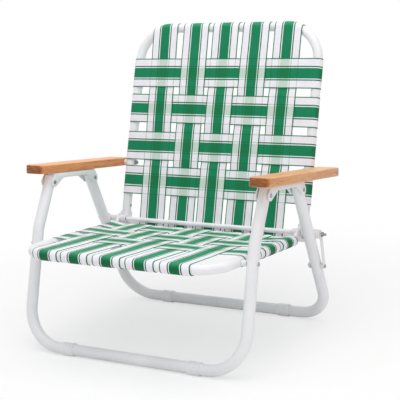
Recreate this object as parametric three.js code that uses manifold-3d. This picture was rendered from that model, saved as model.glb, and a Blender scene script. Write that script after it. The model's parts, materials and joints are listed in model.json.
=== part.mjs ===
// Folding lawn chair: two bent leg frames, a seat and a back woven from flat straps, wooden arms on
// sheet-metal brackets, and a pair of links that lock the legs open.
// Millimetres, +Z up. The chair faces -Y, stands on z = 0 and is centred on its own outline.
import * as THREE from 'three';
import { mergeVertices } from 'three/addons/utils/BufferGeometryUtils.js';
import Module from 'manifold-3d';

const wasm = await Module();
wasm.setup();

// Running gap between neighbouring pieces, and the wider one round the legs inside the brackets.
const FIT = 0.3;
const BRACKET_PLAY = 0.5;

// Tubes: outer diameters, wall, and bend radii at the centre line.
const LEG_TUBE = 22;
const FRAME_TUBE = 19;
const CROSS_TUBE = 12;
const TUBE_WALL = 1.2;
const FRONT_CORNER = 75;
const REAR_CORNER = 62;
const KNEE_BEND = 70;
const SEAT_CORNER = 62;
const BACK_CORNER = 72;

// Facets: sides of the round sections and steps along the bends.
const TUBE_SIDES = 14;
const BORE_SIDES = 8;
const PIN_SIDES = 10;
const CORNER_STEPS = 7;
const KNEE_STEPS = 3;
const HOOK_STEPS = 8;
const ARC_STEPS = 4;

// Sideways from the centre line of a leg: inward to the seat and back tube, and to a foot's middle.
const SIDE_STEP = 30.8;
const FOOT_INSET = 100.3;

// Side view: reach is measured behind the front ground bar. The arm's height above the floor sets
// the others: the seat pivot hangs below it, and knee, axle and link pivot follow from the seat pivot.
const REAR_BAR_REACH = 363.1;
const KNEE_REACH = 62.3;
const KNEE_ABOVE_SEAT = 29.5;
const ARM_PIVOT_REACH = 108.8;
const ARM_PIVOT_HEIGHT = 315.3;
const ARM_PIVOT_SPACING = 136.7;
const ARM_SLOPE = 7.3;
const ARM_ABOVE_SEAT = 112.3;
const SEAT_SLOPE = 4.2;
const AXLE_BELOW_SEAT = 5.8;
const AXLE_REST_GAP = 0.35;
const LINK_BELOW_AXLE = 67.2;
const BACK_LEAN = 16.75;
const LEG_END_REACH = 11;

// Feet: sleeves round the ground bars, with a flat sole.
const FOOT_WALL = 1.5;
const FOOT_LENGTH = 26;
const FOOT_SOLE_CUT = 0.5;

// Seat, in its own sloping frame: lengths along the side tubes from the seat pivot. The cross straps
// share the length between the room behind the pivot and the room before the rear bar.
const SEAT_FRONT_REACH = 92;
const SEAT_END_GAP = 12.5;
const SEAT_REAR_BAR_GAP = 18.5;
const SEAT_REAR_BAR_DROP = 0.5;
const SEAT_FRONT_ROOM = 13.9;
const SEAT_REAR_ROOM = 4.1;
const SEAT_LONG_SHIFT = -7;
const TONGUE_THICK = 6;
const TONGUE_OFFSET = 4.7;
const TONGUE_HEIGHT = 11;
const TONGUE_ROOT = 22;
const TONGUE_EYE = 12;
const EYE_WRAP = 108;

// Back, in its own leaning frame: lengths along the side tubes from the axle. The rows of cross
// straps are spaced from the arm's bolt, which passes between the two lowest, and the top bar from
// the highest row.
const BACK_OFFSET = 17.5;
const BACK_END_HEIGHT = 17;
const BOLT_ROOM_BELOW = 7.2;
const BOLT_ROOM_ABOVE = 6.8;
const MIDDLE_ROW_GAP = 18.9;
const TOP_ROW_GAP = 14.5;
const BACK_TOP_ROOM = 66.8;
const BACK_LOWER_BAR_DROP = 9;
const HINGE_END_DROP = 12;
const HINGE_END_CHAMFER = 6;
const HINGE_EYE = 11;
const HINGE_BOSS = 15;
const HINGE_BOSS_LENGTH = 3.3;
const SPIGOT_LENGTH = 22;
const SPIGOT_PLAY = 1.1;
const HINGE_RIVET_HEIGHT = 30;

// Webbing: the long straps lie side by side and set the width of the frame round them.
const STRAP_WIDTH = 61.2;
const STRAP_GAP = 10.1;
const STRAP_SIDE_ROOM = 64.5;
const STRAP_THICK = 1.2;
const STRAP_LAP = 0.9;
const STRAP_MARGIN = 1.5;
const STRAP_LANDING = 18;
const STRAP_TAIL = 6;
const LONG_COUNT = 5;
const SEAT_CROSS_COUNT = 3;

// Arms and brackets, in the sloping frame of the arm with the front pivot at its origin.
const ARM_WIDTH = 43;
const ARM_THICK = 14.5;
const ARM_SHIFT = 8.7;
const ARM_RISE = 18;
const ARM_FRONT_REACH = 40;
const ARM_REAR_REACH = 10;
const ARM_FRONT_ROUND = 13;
const ARM_REAR_ROUND = 2.5;
const ARM_EDGE_ROUND = 1.6;
const SHEET = 1.8;
const EAR_RADIUS = 10;
const EAR_RUNOUT = 50;
const ARCH_HEIGHT = 7.5;
const ARCH_FRONT = 30;
const ARCH_REAR = 78;
const BRACKET_SETBACK = 1;

// Pins and fasteners.
const AXLE_CORE = 6.4;
const AXLE_TUBE = 9.5;
const COLLAR_DIAMETER = 17;
const COLLAR_LENGTH = 4.2;
const PIN_DIAMETER = 5;
const HEAD_DIAMETER = 7.8;
const HEAD_HEIGHT = 1.7;
const SMALL_HEAD_DIAMETER = 7;
const SMALL_HEAD_HEIGHT = 1.2;
const NUT_DIAMETER = 9;
const NUT_HEIGHT = 4;
const THREAD_END = 2;
const STUD_END = 6;
const SPACER_DIAMETER = 12;
const LINK_WIDTH = 9.5;
const LINK_THICK = 2.2;

// Finishes of the chair: powder-coated tube, plastic, steel, oiled wood and webbing.
const COAT = { color: 0xf1f0f2, roughness: 0.45, metalness: 0.1 };
const PLASTIC = { color: 0xf4f4f5, roughness: 0.55, metalness: 0 };
const STEEL = { color: 0xb9bbc0, roughness: 0.35, metalness: 0.9 };
const WOOD = { color: 0xd79a68, roughness: 0.6, metalness: 0 };
const WEBBING = { color: 0x3d9a6a, roughness: 0.7, metalness: 0 };

const SIDES = [['left', -1], ['right', 1]];
const QUARTER = Math.PI / 2;

// Sizes that follow from the values above.
const legRadius = LEG_TUBE / 2;
const frameRadius = FRAME_TUBE / 2;
const crossRadius = CROSS_TUBE / 2;
const coreRadius = AXLE_CORE / 2;
const axleRadius = AXLE_TUBE / 2;
const pinRadius = PIN_DIAMETER / 2;
const spacerRadius = SPACER_DIAMETER / 2;
const longPitch = STRAP_WIDTH + STRAP_GAP;
const frameX = (LONG_COUNT * longPitch + STRAP_SIDE_ROOM) / 2;
const legX = frameX + SIDE_STEP;
const footX = legX - FOOT_INSET;
const footRadius = legRadius + FIT + FOOT_WALL;
const groundBarHeight = footRadius - FOOT_SOLE_CUT;
const armAngle = THREE.MathUtils.degToRad(ARM_SLOPE);
const seatAngle = THREE.MathUtils.degToRad(SEAT_SLOPE);
const backAngle = THREE.MathUtils.degToRad(BACK_LEAN);

// Pivots of the folding linkage in side view, as (reach, height).
const frontFoot = new THREE.Vector2(0, groundBarHeight);
const rearFoot = new THREE.Vector2(REAR_BAR_REACH, groundBarHeight);
const armFrontPivot = new THREE.Vector2(ARM_PIVOT_REACH, ARM_PIVOT_HEIGHT);
const seatPivotHeight = ARM_PIVOT_HEIGHT - ARM_ABOVE_SEAT;
const knee = new THREE.Vector2(KNEE_REACH, seatPivotHeight + KNEE_ABOVE_SEAT);
const alongArm = new THREE.Vector2(Math.cos(armAngle), -Math.sin(armAngle));
const armRearPivot = armFrontPivot.clone().addScaledVector(alongArm, ARM_PIVOT_SPACING);
const seatPivotShare = (seatPivotHeight - groundBarHeight) / (knee.y - groundBarHeight);
const seatPivot = frontFoot.clone().lerp(knee, seatPivotShare);
const alongRearLeg = rearFoot.clone().sub(armRearPivot).normalize();
const behindRearLeg = new THREE.Vector2(-alongRearLeg.y, alongRearLeg.x);

// The axle lies against the back of the rear leg, a little lower than the seat pivot.
const axleHeight = seatPivotHeight - AXLE_BELOW_SEAT;
const axleStandOff = legRadius + axleRadius + AXLE_REST_GAP;
const axleRun = (axleHeight - armRearPivot.y - behindRearLeg.y * axleStandOff) / alongRearLeg.y;
const axle = armRearPivot.clone()
  .addScaledVector(alongRearLeg, axleRun)
  .addScaledVector(behindRearLeg, axleStandOff);

// Arm, front leg, seat and back make a parallelogram, so the last corner follows from the others.
const armBackPivot = axle.clone().add(armFrontPivot).sub(seatPivot);
const linkRun = (axleHeight - LINK_BELOW_AXLE - armRearPivot.y) / alongRearLeg.y;
const linkPivot = armRearPivot.clone().addScaledVector(alongRearLeg, linkRun);

// A side-view point in a frame that stands at origin and is turned down by an angle.
function inFrame(point, origin, angle) {
  return point.clone().sub(origin).rotateAround(new THREE.Vector2(), angle);
}
const axleOnSeat = inFrame(axle, seatPivot, seatAngle);
const boltOnBack = inFrame(armBackPivot, axle, backAngle);
const boltOnArm = inFrame(armBackPivot, armFrontPivot, armAngle);
const rearPivotOnArm = new THREE.Vector2(ARM_PIVOT_SPACING, 0);
const ownOrigin = new THREE.Vector2();

const chair = new THREE.Group();
const seatGroup = new THREE.Group();
const backGroup = new THREE.Group();
const armGroup = new THREE.Group();
for (const [group, origin, angle] of [
  [seatGroup, seatPivot, seatAngle],
  [backGroup, axle, backAngle],
  [armGroup, armFrontPivot, armAngle],
]) {
  group.position.set(0, origin.x, origin.y);
  group.rotation.x = -angle;
  chair.add(group);
}

function addPiece(name, geometry, finish, group = chair) {
  const mesh = new THREE.Mesh(geometry, new THREE.MeshStandardMaterial(finish));
  mesh.name = name;
  group.add(mesh);
}

// Solids for cutting and joining
function toSolid(geometry) {
  const bare = new THREE.BufferGeometry();
  bare.setAttribute('position', geometry.getAttribute('position'));
  bare.setIndex(geometry.getIndex());
  const welded = mergeVertices(bare);
  const corners = welded.getIndex().array;
  const triangles = [];
  for (let i = 0; i < corners.length; i += 3) {
    const [a, b, c] = corners.slice(i, i + 3);
    if (a !== b && b !== c && c !== a) triangles.push(a, b, c);
  }
  return new wasm.Manifold(new wasm.Mesh({
    numProp: 3,
    vertProperties: welded.getAttribute('position').array,
    triVerts: new Uint32Array(triangles),
  }));
}

function toGeometry(solid) {
  const mesh = solid.getMesh();
  const geometry = new THREE.BufferGeometry();
  geometry.setAttribute('position', new THREE.BufferAttribute(mesh.vertProperties, mesh.numProp));
  geometry.setIndex(new THREE.BufferAttribute(mesh.triVerts, 1));
  geometry.computeVertexNormals();
  return geometry;
}

function cut(geometry, ...cutters) {
  let solid = toSolid(geometry);
  for (const cutter of cutters) {
    solid = solid.subtract(toSolid(cutter));
  }
  return toGeometry(solid);
}

function join(geometry, ...others) {
  let solid = toSolid(geometry);
  for (const other of others) {
    solid = solid.add(toSolid(other));
  }
  return toGeometry(solid);
}

// Round bar along X from x0 to x1 at a side-view point.
function barAlongX(radius, x0, x1, point, sides = PIN_SIDES) {
  const geometry = new THREE.CylinderGeometry(radius, radius, Math.abs(x1 - x0), sides);
  geometry.rotateZ(-QUARTER);
  return geometry.translate((x0 + x1) / 2, point.x, point.y);
}

// Turned piece along X: profile is a list of (x, radius), mirrored to the left side for side = -1.
function turnedAlongX(profile, point, side = 1, sides = PIN_SIDES) {
  const points = profile.map(([x, radius]) => new THREE.Vector2(radius, side * x));
  if (side < 0) points.reverse();
  const geometry = new THREE.LatheGeometry(points, sides);
  geometry.rotateZ(-QUARTER);
  return geometry.translate(0, point.x, point.y);
}

// Sleeve or tube along X from x0 to x1.
function ringAlongX(bore, outer, x0, x1, point, side = 1, sides = TUBE_SIDES) {
  const profile = [[x0, bore], [x0, outer], [x1, outer], [x1, bore], [x0, bore]];
  return turnedAlongX(profile, point, side, sides);
}

// Spacer on a bolt.
function spacerAlongX(x0, x1, point, side) {
  return ringAlongX(pinRadius + FIT, spacerRadius, x0, x1, point, side, PIN_SIDES);
}

// Domed head on a pin, growing from face in the direction of outward. Heads are (diameter, height).
const LARGE_HEAD = [HEAD_DIAMETER, HEAD_HEIGHT];
const SMALL_HEAD = [SMALL_HEAD_DIAMETER, SMALL_HEAD_HEIGHT];
function domeProfile(face, outward, [diameter, height] = LARGE_HEAD) {
  const head = diameter / 2;
  const crown = face + outward * height;
  return [[face, pinRadius], [face, head], [crown, head / 2], [crown, 0]];
}

// Nut with the thread standing out of it.
function nutProfile(face, outward, threadEnd = THREAD_END) {
  const nut = NUT_DIAMETER / 2;
  const outer = face + outward * NUT_HEIGHT;
  const end = outer + outward * threadEnd;
  return [[face, pinRadius], [face, nut], [outer, nut], [outer, pinRadius], [end, pinRadius], [end, 0]];
}

// Rivet along X with a domed head at both ends of the span that it clamps.
function rivetAlongX(x0, x1, point, side = 1, collar = [], head = LARGE_HEAD) {
  const profile = [...domeProfile(x0, -1, head).reverse(), ...collar, ...domeProfile(x1, 1, head)];
  return turnedAlongX(profile, point, side);
}

// Bolt along X: nut before x0 and domed head beyond x1.
function boltAlongX(x0, x1, point, side) {
  return turnedAlongX([...nutProfile(x0, -1).reverse(), ...domeProfile(x1, 1)], point, side);
}

// Centre line of a bent tube: straight runs joined by round bends. A run needs a station only at
// its ends, a bend has a few along its arc.
class BentLine extends THREE.Curve {
  constructor(corners, bends) {
    super();
    const last = corners.length - 1;
    const startTangent = corners[1].clone().sub(corners[0]).normalize();
    const endTangent = corners[last].clone().sub(corners[last - 1]).normalize();
    this.stations = [{ point: corners[0], tangent: startTangent }];
    bends.forEach((bend, i) => this.addBend(corners[i], corners[i + 1], corners[i + 2], bend));
    this.stations.push({ point: corners[last], tangent: endTangent });
  }

  addBend(before, corner, after, { radius, steps }) {
    const into = corner.clone().sub(before).normalize();
    const out = after.clone().sub(corner).normalize();
    const turn = into.angleTo(out);
    const start = corner.clone().addScaledVector(into, -radius * Math.tan(turn / 2));
    const inward = out.clone().addScaledVector(into, -into.dot(out)).normalize();
    for (let i = 0; i <= steps; i += 1) {
      const angle = turn * i / steps;
      const point = start.clone()
        .addScaledVector(into, radius * Math.sin(angle))
        .addScaledVector(inward, radius * (1 - Math.cos(angle)));
      const tangent = into.clone().multiplyScalar(Math.cos(angle)).addScaledVector(inward, Math.sin(angle));
      this.stations.push({ point, tangent });
    }
  }

  stationAt(u) {
    return this.stations[Math.round(u * (this.stations.length - 1))];
  }

  getPoint(u) {
    return this.stationAt(u).point.clone();
  }

  getPointAt(u) {
    return this.getPoint(u);
  }

  getTangentAt(u) {
    return this.stationAt(u).tangent.clone();
  }
}

const counted = (count) => Array.from({ length: count }, (_, i) => i);

function circlePoints(radius, sides) {
  return counted(sides).map((i) => {
    const angle = 2 * Math.PI * i / sides;
    return new THREE.Vector2(radius * Math.cos(angle), radius * Math.sin(angle));
  });
}

function bentTube(diameter, line) {
  const section = new THREE.Shape(circlePoints(diameter / 2, TUBE_SIDES));
  section.holes.push(new THREE.Path(circlePoints(diameter / 2 - TUBE_WALL, BORE_SIDES).reverse()));
  return new THREE.ExtrudeGeometry(section, { steps: line.stations.length - 1, extrudePath: line });
}

function straightTube(diameter, x0, x1, point) {
  return ringAlongX(diameter / 2 - TUBE_WALL, diameter / 2, x0, x1, point);
}

// Extrusions centred on the plane of their outline
const axisX = new THREE.Vector3(1, 0, 0);
const axisY = new THREE.Vector3(0, 1, 0);
const axisZ = new THREE.Vector3(0, 0, 1);
const sideView = new THREE.Matrix4().makeBasis(axisY, axisZ, axisX);
const frontView = new THREE.Matrix4().makeBasis(axisX, axisZ, axisY.clone().negate());
const planView = new THREE.Matrix4();

function slab(shape, depth, view, bevel = { bevelEnabled: false }) {
  const geometry = new THREE.ExtrudeGeometry(shape, { depth, curveSegments: ARC_STEPS, ...bevel });
  return geometry.translate(0, 0, -depth / 2).applyMatrix4(view);
}

// Leg frames: U-shaped tubes whose ground bar joins two legs with wide round corners.
function legFrame(sidePoints, bends) {
  const right = sidePoints.map((point) => new THREE.Vector3(legX, point.x, point.y));
  const left = sidePoints.map((point) => new THREE.Vector3(-legX, point.x, point.y)).reverse();
  const line = new BentLine([...right, ...left], [...bends, ...bends.slice().reverse()]);
  return bentTube(LEG_TUBE, line);
}

function pinHole(point) {
  const reach = legX + LEG_TUBE + ARM_WIDTH;
  return barAlongX(pinRadius + FIT, -reach, reach, point);
}

function axleHole(point) {
  return barAlongX(coreRadius + FIT, -legX, legX, point);
}

function makeLegs() {
  const frontCorner = { radius: FRONT_CORNER, steps: CORNER_STEPS };
  const rearCorner = { radius: REAR_CORNER, steps: CORNER_STEPS };
  const kneeBend = { radius: KNEE_BEND, steps: KNEE_STEPS };
  const upFrontLeg = armFrontPivot.clone().sub(knee).normalize();
  const frontTop = armFrontPivot.clone().addScaledVector(upFrontLeg, LEG_END_REACH);
  const rearTop = armRearPivot.clone().addScaledVector(alongRearLeg, -LEG_END_REACH);
  const front = legFrame([frontTop, knee, frontFoot], [kneeBend, frontCorner]);
  const rear = legFrame([rearTop, rearFoot], [rearCorner]);
  addPiece('front_leg_frame', cut(front, pinHole(armFrontPivot), pinHole(seatPivot)), COAT);
  addPiece('rear_leg_frame', cut(rear, pinHole(armRearPivot), pinHole(linkPivot)), COAT);
}

function makeFeet() {
  for (const [place, foot] of [['front', frontFoot], ['rear', rearFoot]]) {
    for (const [sideName, side] of SIDES) {
      const inner = footX - FOOT_LENGTH / 2;
      const sleeve = ringAlongX(legRadius + FIT, footRadius, inner, inner + FOOT_LENGTH, foot, side);
      const floor = new THREE.BoxGeometry(FOOT_LENGTH * 2, FOOT_LENGTH * 2, FOOT_LENGTH);
      floor.translate(side * footX, foot.x, -FOOT_LENGTH / 2);
      addPiece(`foot_${place}_${sideName}`, cut(sleeve, floor), PLASTIC);
    }
  }
}

// Seat: U-shaped tube open to the rear, with a tongue in each end that turns on the axle.
const tongueInner = frameX + TONGUE_OFFSET - TONGUE_THICK / 2;
const tongueOuter = tongueInner + TONGUE_THICK;
const seatEnd = axleOnSeat.x - SEAT_END_GAP;
const seatRearBar = new THREE.Vector2(axleOnSeat.x - SEAT_REAR_BAR_GAP, -SEAT_REAR_BAR_DROP);
const seatFirstRow = SEAT_FRONT_ROOM + STRAP_WIDTH / 2;
const seatLastRow = seatRearBar.x - SEAT_REAR_ROOM - STRAP_WIDTH / 2;
const seatRowPitch = (seatLastRow - seatFirstRow) / (SEAT_CROSS_COUNT - 1);

function tongueShape() {
  const half = TONGUE_HEIGHT / 2;
  const wrap = THREE.MathUtils.degToRad(EYE_WRAP);
  const shape = new THREE.Shape();
  shape.moveTo(seatEnd - TONGUE_ROOT, -half);
  shape.lineTo(seatEnd, -half);
  shape.absarc(axleOnSeat.x, axleOnSeat.y, TONGUE_EYE, -wrap, wrap, false);
  shape.lineTo(seatEnd, half);
  shape.lineTo(seatEnd - TONGUE_ROOT, half);
  return shape;
}

function makeSeatFrame() {
  const corner = { radius: SEAT_CORNER, steps: CORNER_STEPS };
  const line = new BentLine([
    new THREE.Vector3(frameX, seatEnd, 0),
    new THREE.Vector3(frameX, -SEAT_FRONT_REACH, 0),
    new THREE.Vector3(-frameX, -SEAT_FRONT_REACH, 0),
    new THREE.Vector3(-frameX, seatEnd, 0),
  ], [corner, corner]);
  const tongues = SIDES.map(([, side]) => slab(tongueShape(), TONGUE_THICK, sideView)
    .translate(side * (tongueInner + tongueOuter) / 2, 0, 0));
  const frame = join(bentTube(FRAME_TUBE, line), ...tongues);
  addPiece('seat_frame', cut(frame, axleHole(axleOnSeat), pinHole(ownOrigin)), COAT, seatGroup);
  const barEnd = frameX - frameRadius - FIT;
  addPiece('seat_rear_bar', straightTube(CROSS_TUBE, -barEnd, barEnd, seatRearBar), COAT, seatGroup);
}

function makeSeatPivots() {
  const railFace = frameX + frameRadius + FIT;
  const nutFace = frameX - frameRadius - FIT;
  for (const [sideName, side] of SIDES) {
    const spacer = spacerAlongX(railFace, legInner, seatPivot, side);
    addPiece(`seat_pivot_spacer_${sideName}`, spacer, PLASTIC);
    addPiece(`seat_pivot_bolt_${sideName}`, boltAlongX(nutFace, legOuter, seatPivot, side), STEEL);
  }
}

// Axle: a rod through the seat tongues and the back's hinge ends, with a tube over its middle and a
// bush over each end that lies against the rear leg and holds it between two collars.
const hingeInner = frameX - frameRadius + FIT;
const hingeOuter = frameX + frameRadius - FIT;
const bossFace = hingeInner - HINGE_BOSS_LENGTH;
const legInner = legX - legRadius - FIT;
const legOuter = legX + legRadius + FIT;
const axleEnd = legOuter + COLLAR_LENGTH;

function makeAxle() {
  const bore = coreRadius + FIT;
  const collar = COLLAR_DIAMETER / 2;
  const tubeEnd = bossFace - FIT;
  const bushStart = tongueOuter + FIT;
  const flange = legInner - COLLAR_LENGTH;
  addPiece('axle_rod', barAlongX(coreRadius, -axleEnd, axleEnd, axle), STEEL);
  addPiece('axle_tube', ringAlongX(bore, axleRadius, -tubeEnd, tubeEnd, axle, 1, PIN_SIDES), COAT);
  for (const [sideName, side] of SIDES) {
    const bush = turnedAlongX([
      [bushStart, bore], [bushStart, axleRadius], [flange, axleRadius], [flange, collar],
      [legInner, collar], [legInner, axleRadius], [legOuter, axleRadius], [legOuter, collar],
      [axleEnd, collar], [axleEnd, bore], [bushStart, bore],
    ], axle, side);
    addPiece(`axle_bush_${sideName}`, bush, PLASTIC);
  }
}

// Back: inverted U-shaped tube; a moulded hinge end plugs each open end and reaches to the axle.
const rowUnderBolt = boltOnBack.y - BOLT_ROOM_BELOW - STRAP_WIDTH / 2;
const rowOverBolt = boltOnBack.y + BOLT_ROOM_ABOVE + STRAP_WIDTH / 2;
const secondRow = rowOverBolt + STRAP_WIDTH + MIDDLE_ROW_GAP;
const topRow = secondRow + STRAP_WIDTH + TOP_ROW_GAP;
const backCrossPlaces = [topRow, secondRow, rowOverBolt, rowUnderBolt];
const backTop = new THREE.Vector2(BACK_OFFSET, topRow + STRAP_WIDTH / 2 + BACK_TOP_ROOM);
const backLowerBar = new THREE.Vector2(BACK_OFFSET - frameRadius + crossRadius, -BACK_LOWER_BAR_DROP);
const hingeRivet = new THREE.Vector2(BACK_OFFSET, HINGE_RIVET_HEIGHT);

function hingeEndShape() {
  const rear = BACK_OFFSET + frameRadius;
  const top = BACK_END_HEIGHT - FIT;
  const shape = new THREE.Shape();
  shape.moveTo(rear, top);
  shape.lineTo(BACK_OFFSET - frameRadius, top);
  shape.absarc(0, 0, HINGE_EYE, QUARTER, 3 * QUARTER, false);
  shape.lineTo(BACK_OFFSET, -HINGE_END_DROP - HINGE_END_CHAMFER);
  shape.lineTo(rear, -HINGE_END_DROP);
  return shape;
}

function makeHingeEnd(side) {
  const block = slab(hingeEndShape(), hingeOuter - hingeInner, sideView);
  block.translate(side * (hingeOuter + hingeInner) / 2, 0, 0);
  const spigotRadius = frameRadius - TUBE_WALL - SPIGOT_PLAY;
  const spigot = new THREE.CylinderGeometry(spigotRadius, spigotRadius, SPIGOT_LENGTH * 2, PIN_SIDES);
  spigot.rotateX(QUARTER).translate(side * frameX, BACK_OFFSET, BACK_END_HEIGHT);
  const plug = cut(spigot, barAlongX(BACK_END_HEIGHT, -legX, legX, ownOrigin));
  const boss = barAlongX(HINGE_BOSS / 2, side * bossFace, side * frameX, ownOrigin, TUBE_SIDES);
  const tongueSide = side * (tongueInner - FIT);
  const tongueRoom = barAlongX(TONGUE_EYE + 2 * FIT, tongueSide, side * legX, ownOrigin, TUBE_SIDES);
  return cut(join(block, plug, boss), tongueRoom, axleHole(ownOrigin), pinHole(hingeRivet));
}

function makeBackFrame() {
  const corner = { radius: BACK_CORNER, steps: CORNER_STEPS };
  const line = new BentLine([
    new THREE.Vector3(frameX, BACK_OFFSET, BACK_END_HEIGHT),
    new THREE.Vector3(frameX, backTop.x, backTop.y),
    new THREE.Vector3(-frameX, backTop.x, backTop.y),
    new THREE.Vector3(-frameX, BACK_OFFSET, BACK_END_HEIGHT),
  ], [corner, corner]);
  const frame = cut(bentTube(FRAME_TUBE, line), pinHole(boltOnBack), pinHole(hingeRivet));
  addPiece('back_frame', frame, COAT, backGroup);
  const barEnd = hingeInner - FIT;
  addPiece('back_lower_bar', straightTube(CROSS_TUBE, -barEnd, barEnd, backLowerBar), COAT, backGroup);
  const rivetInner = frameX - frameRadius - FIT;
  const rivetOuter = frameX + frameRadius + FIT;
  for (const [sideName, side] of SIDES) {
    const rivet = rivetAlongX(rivetInner, rivetOuter, hingeRivet, side, [], SMALL_HEAD);
    addPiece(`back_hinge_end_${sideName}`, makeHingeEnd(side), PLASTIC, backGroup);
    addPiece(`hinge_end_rivet_${sideName}`, rivet, STEEL, backGroup);
  }
}

// Webbing: each strap is a band that hooks round the tube at both of its ends and passes over and
// under the straps that it crosses.
const strapHalf = STRAP_THICK / 2;
const hookOnFrame = frameRadius + FIT + strapHalf;
const hookOnCross = crossRadius + FIT + strapHalf;
const crossingHalf = STRAP_WIDTH / 2 + STRAP_MARGIN;

// Centre line of a strap's end: half a turn round a tube, then a short straight tail. The angle is
// where the strap meets the tube, and turn is 1 or -1 for the way that it goes round.
function hook(centre, radius, meetDegrees, turn) {
  const meet = THREE.MathUtils.degToRad(meetDegrees);
  const chain = counted(HOOK_STEPS + 1).map((i) => {
    const angle = meet + turn * Math.PI * i / HOOK_STEPS;
    return new THREE.Vector2(centre.x + radius * Math.cos(angle), centre.y + radius * Math.sin(angle));
  });
  const tail = new THREE.Vector2(Math.sin(meet), -Math.cos(meet)).multiplyScalar(turn * STRAP_TAIL);
  return [...chain, chain[HOOK_STEPS].clone().add(tail)];
}

// Flat stretch on the tube before the strap starts to weave, then the hook.
function landing(centre, radius, meetDegrees, turn) {
  const meet = THREE.MathUtils.degToRad(meetDegrees);
  const touch = new THREE.Vector2(radius * Math.cos(meet), radius * Math.sin(meet)).add(centre);
  const back = new THREE.Vector2(Math.sin(meet), -Math.cos(meet)).multiplyScalar(turn * STRAP_LANDING);
  return [touch.add(back), ...hook(centre, radius, meetDegrees, turn)];
}

function bandShape(chain) {
  const near = [];
  const far = [];
  chain.forEach((point, i) => {
    const into = point.clone().sub(chain[Math.max(i - 1, 0)]).normalize();
    const out = chain[Math.min(i + 1, chain.length - 1)].clone().sub(point).normalize();
    const along = into.clone().add(out).normalize();
    const across = new THREE.Vector2(-along.y, along.x);
    const reach = strapHalf / Math.max(along.dot(into), along.dot(out));
    near.push(point.clone().addScaledVector(across, -reach));
    far.push(point.clone().addScaledVector(across, reach));
  });
  return new THREE.Shape([...near, ...far.reverse()]);
}

// Both ends of the flat stretch where a strap crosses another one at place, raised or lowered.
function crossing(place, level) {
  return [new THREE.Vector2(place - crossingHalf, level), new THREE.Vector2(place + crossingHalf, level)];
}

const longPlace = (i) => (i - (LONG_COUNT - 1) / 2) * longPitch;
const seatLongPlace = (i) => longPlace(i) + SEAT_LONG_SHIFT;
const seatCrossPlace = (j) => seatFirstRow + j * seatRowPitch;
const crossIsOverOnSeat = (i, j) => (i + j) % 2 === 1;
const crossIsOverOnBack = (i, j) => (i + j) % 2 === 0;

// Height of the woven seat at a place along it: it falls from the front bar to the lower rear bar.
function seatLevel(place) {
  const rearLevel = seatRearBar.y + hookOnCross;
  const share = (place + SEAT_FRONT_REACH) / (seatRearBar.x + SEAT_FRONT_REACH);
  return THREE.MathUtils.lerp(hookOnFrame, rearLevel, share);
}

function makeSeatStraps() {
  const frontBar = new THREE.Vector2(-SEAT_FRONT_REACH, 0);
  counted(LONG_COUNT).forEach((i) => {
    const woven = counted(SEAT_CROSS_COUNT).flatMap((j) => {
      const lap = crossIsOverOnSeat(i, j) ? -STRAP_LAP : STRAP_LAP;
      return crossing(seatCrossPlace(j), seatLevel(seatCrossPlace(j)) + lap);
    });
    const front = landing(frontBar, hookOnFrame, 90, 1).reverse();
    const chain = [...front, ...woven, ...hook(seatRearBar, hookOnCross, 90, -1)];
    const strap = slab(bandShape(chain), STRAP_WIDTH, sideView).translate(seatLongPlace(i), 0, 0);
    addPiece(`seat_long_strap_${i + 1}`, strap, WEBBING, seatGroup);
  });
  const leftTube = new THREE.Vector2(-frameX, 0);
  const rightTube = new THREE.Vector2(frameX, 0);
  counted(SEAT_CROSS_COUNT).forEach((j) => {
    const level = seatLevel(seatCrossPlace(j));
    const woven = counted(LONG_COUNT).flatMap((i) => {
      const lap = crossIsOverOnSeat(i, j) ? STRAP_LAP : -STRAP_LAP;
      return crossing(seatLongPlace(i), level + lap);
    });
    const left = landing(leftTube, hookOnFrame, 90, 1).reverse();
    const chain = [...left, ...woven, ...landing(rightTube, hookOnFrame, 90, -1)];
    const strap = slab(bandShape(chain), STRAP_WIDTH, frontView).translate(0, seatCrossPlace(j), 0);
    addPiece(`seat_cross_strap_${j + 1}`, strap, WEBBING, seatGroup);
  });
}

function makeBackStraps() {
  const face = BACK_OFFSET - hookOnFrame;
  counted(LONG_COUNT).forEach((i) => {
    const woven = backCrossPlaces.flatMap((place, j) => {
      const lap = crossIsOverOnBack(i, j) ? STRAP_LAP : -STRAP_LAP;
      const [lower, upper] = crossing(place, face + lap);
      return [upper, lower].map((point) => new THREE.Vector2(point.y, point.x));
    });
    const top = landing(backTop, hookOnFrame, 180, -1).reverse();
    const chain = [...top, ...woven, ...hook(backLowerBar, hookOnCross, 180, 1)];
    const strap = slab(bandShape(chain), STRAP_WIDTH, sideView).translate(longPlace(i), 0, 0);
    addPiece(`back_long_strap_${i + 1}`, strap, WEBBING, backGroup);
  });
  const leftTube = new THREE.Vector2(-frameX, BACK_OFFSET);
  const rightTube = new THREE.Vector2(frameX, BACK_OFFSET);
  backCrossPlaces.forEach((place, j) => {
    const woven = counted(LONG_COUNT).flatMap((i) => {
      const lap = crossIsOverOnBack(i, j) ? -STRAP_LAP : STRAP_LAP;
      return crossing(longPlace(i), face + lap);
    });
    const left = landing(leftTube, hookOnFrame, 270, -1).reverse();
    const chain = [...left, ...woven, ...landing(rightTube, hookOnFrame, 270, 1)];
    const strap = slab(bandShape(chain), STRAP_WIDTH, planView).translate(0, 0, place);
    addPiece(`back_cross_strap_${j + 1}`, strap, WEBBING, backGroup);
  });
}

// Arms: planks with round front corners on folded sheet-metal brackets.
const armX = legX + ARM_SHIFT;
const armInner = armX - ARM_WIDTH / 2;
const armOuter = armX + ARM_WIDTH / 2;
const bracketInside = legRadius + BRACKET_PLAY;
const bracketOutside = bracketInside + SHEET;

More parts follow.
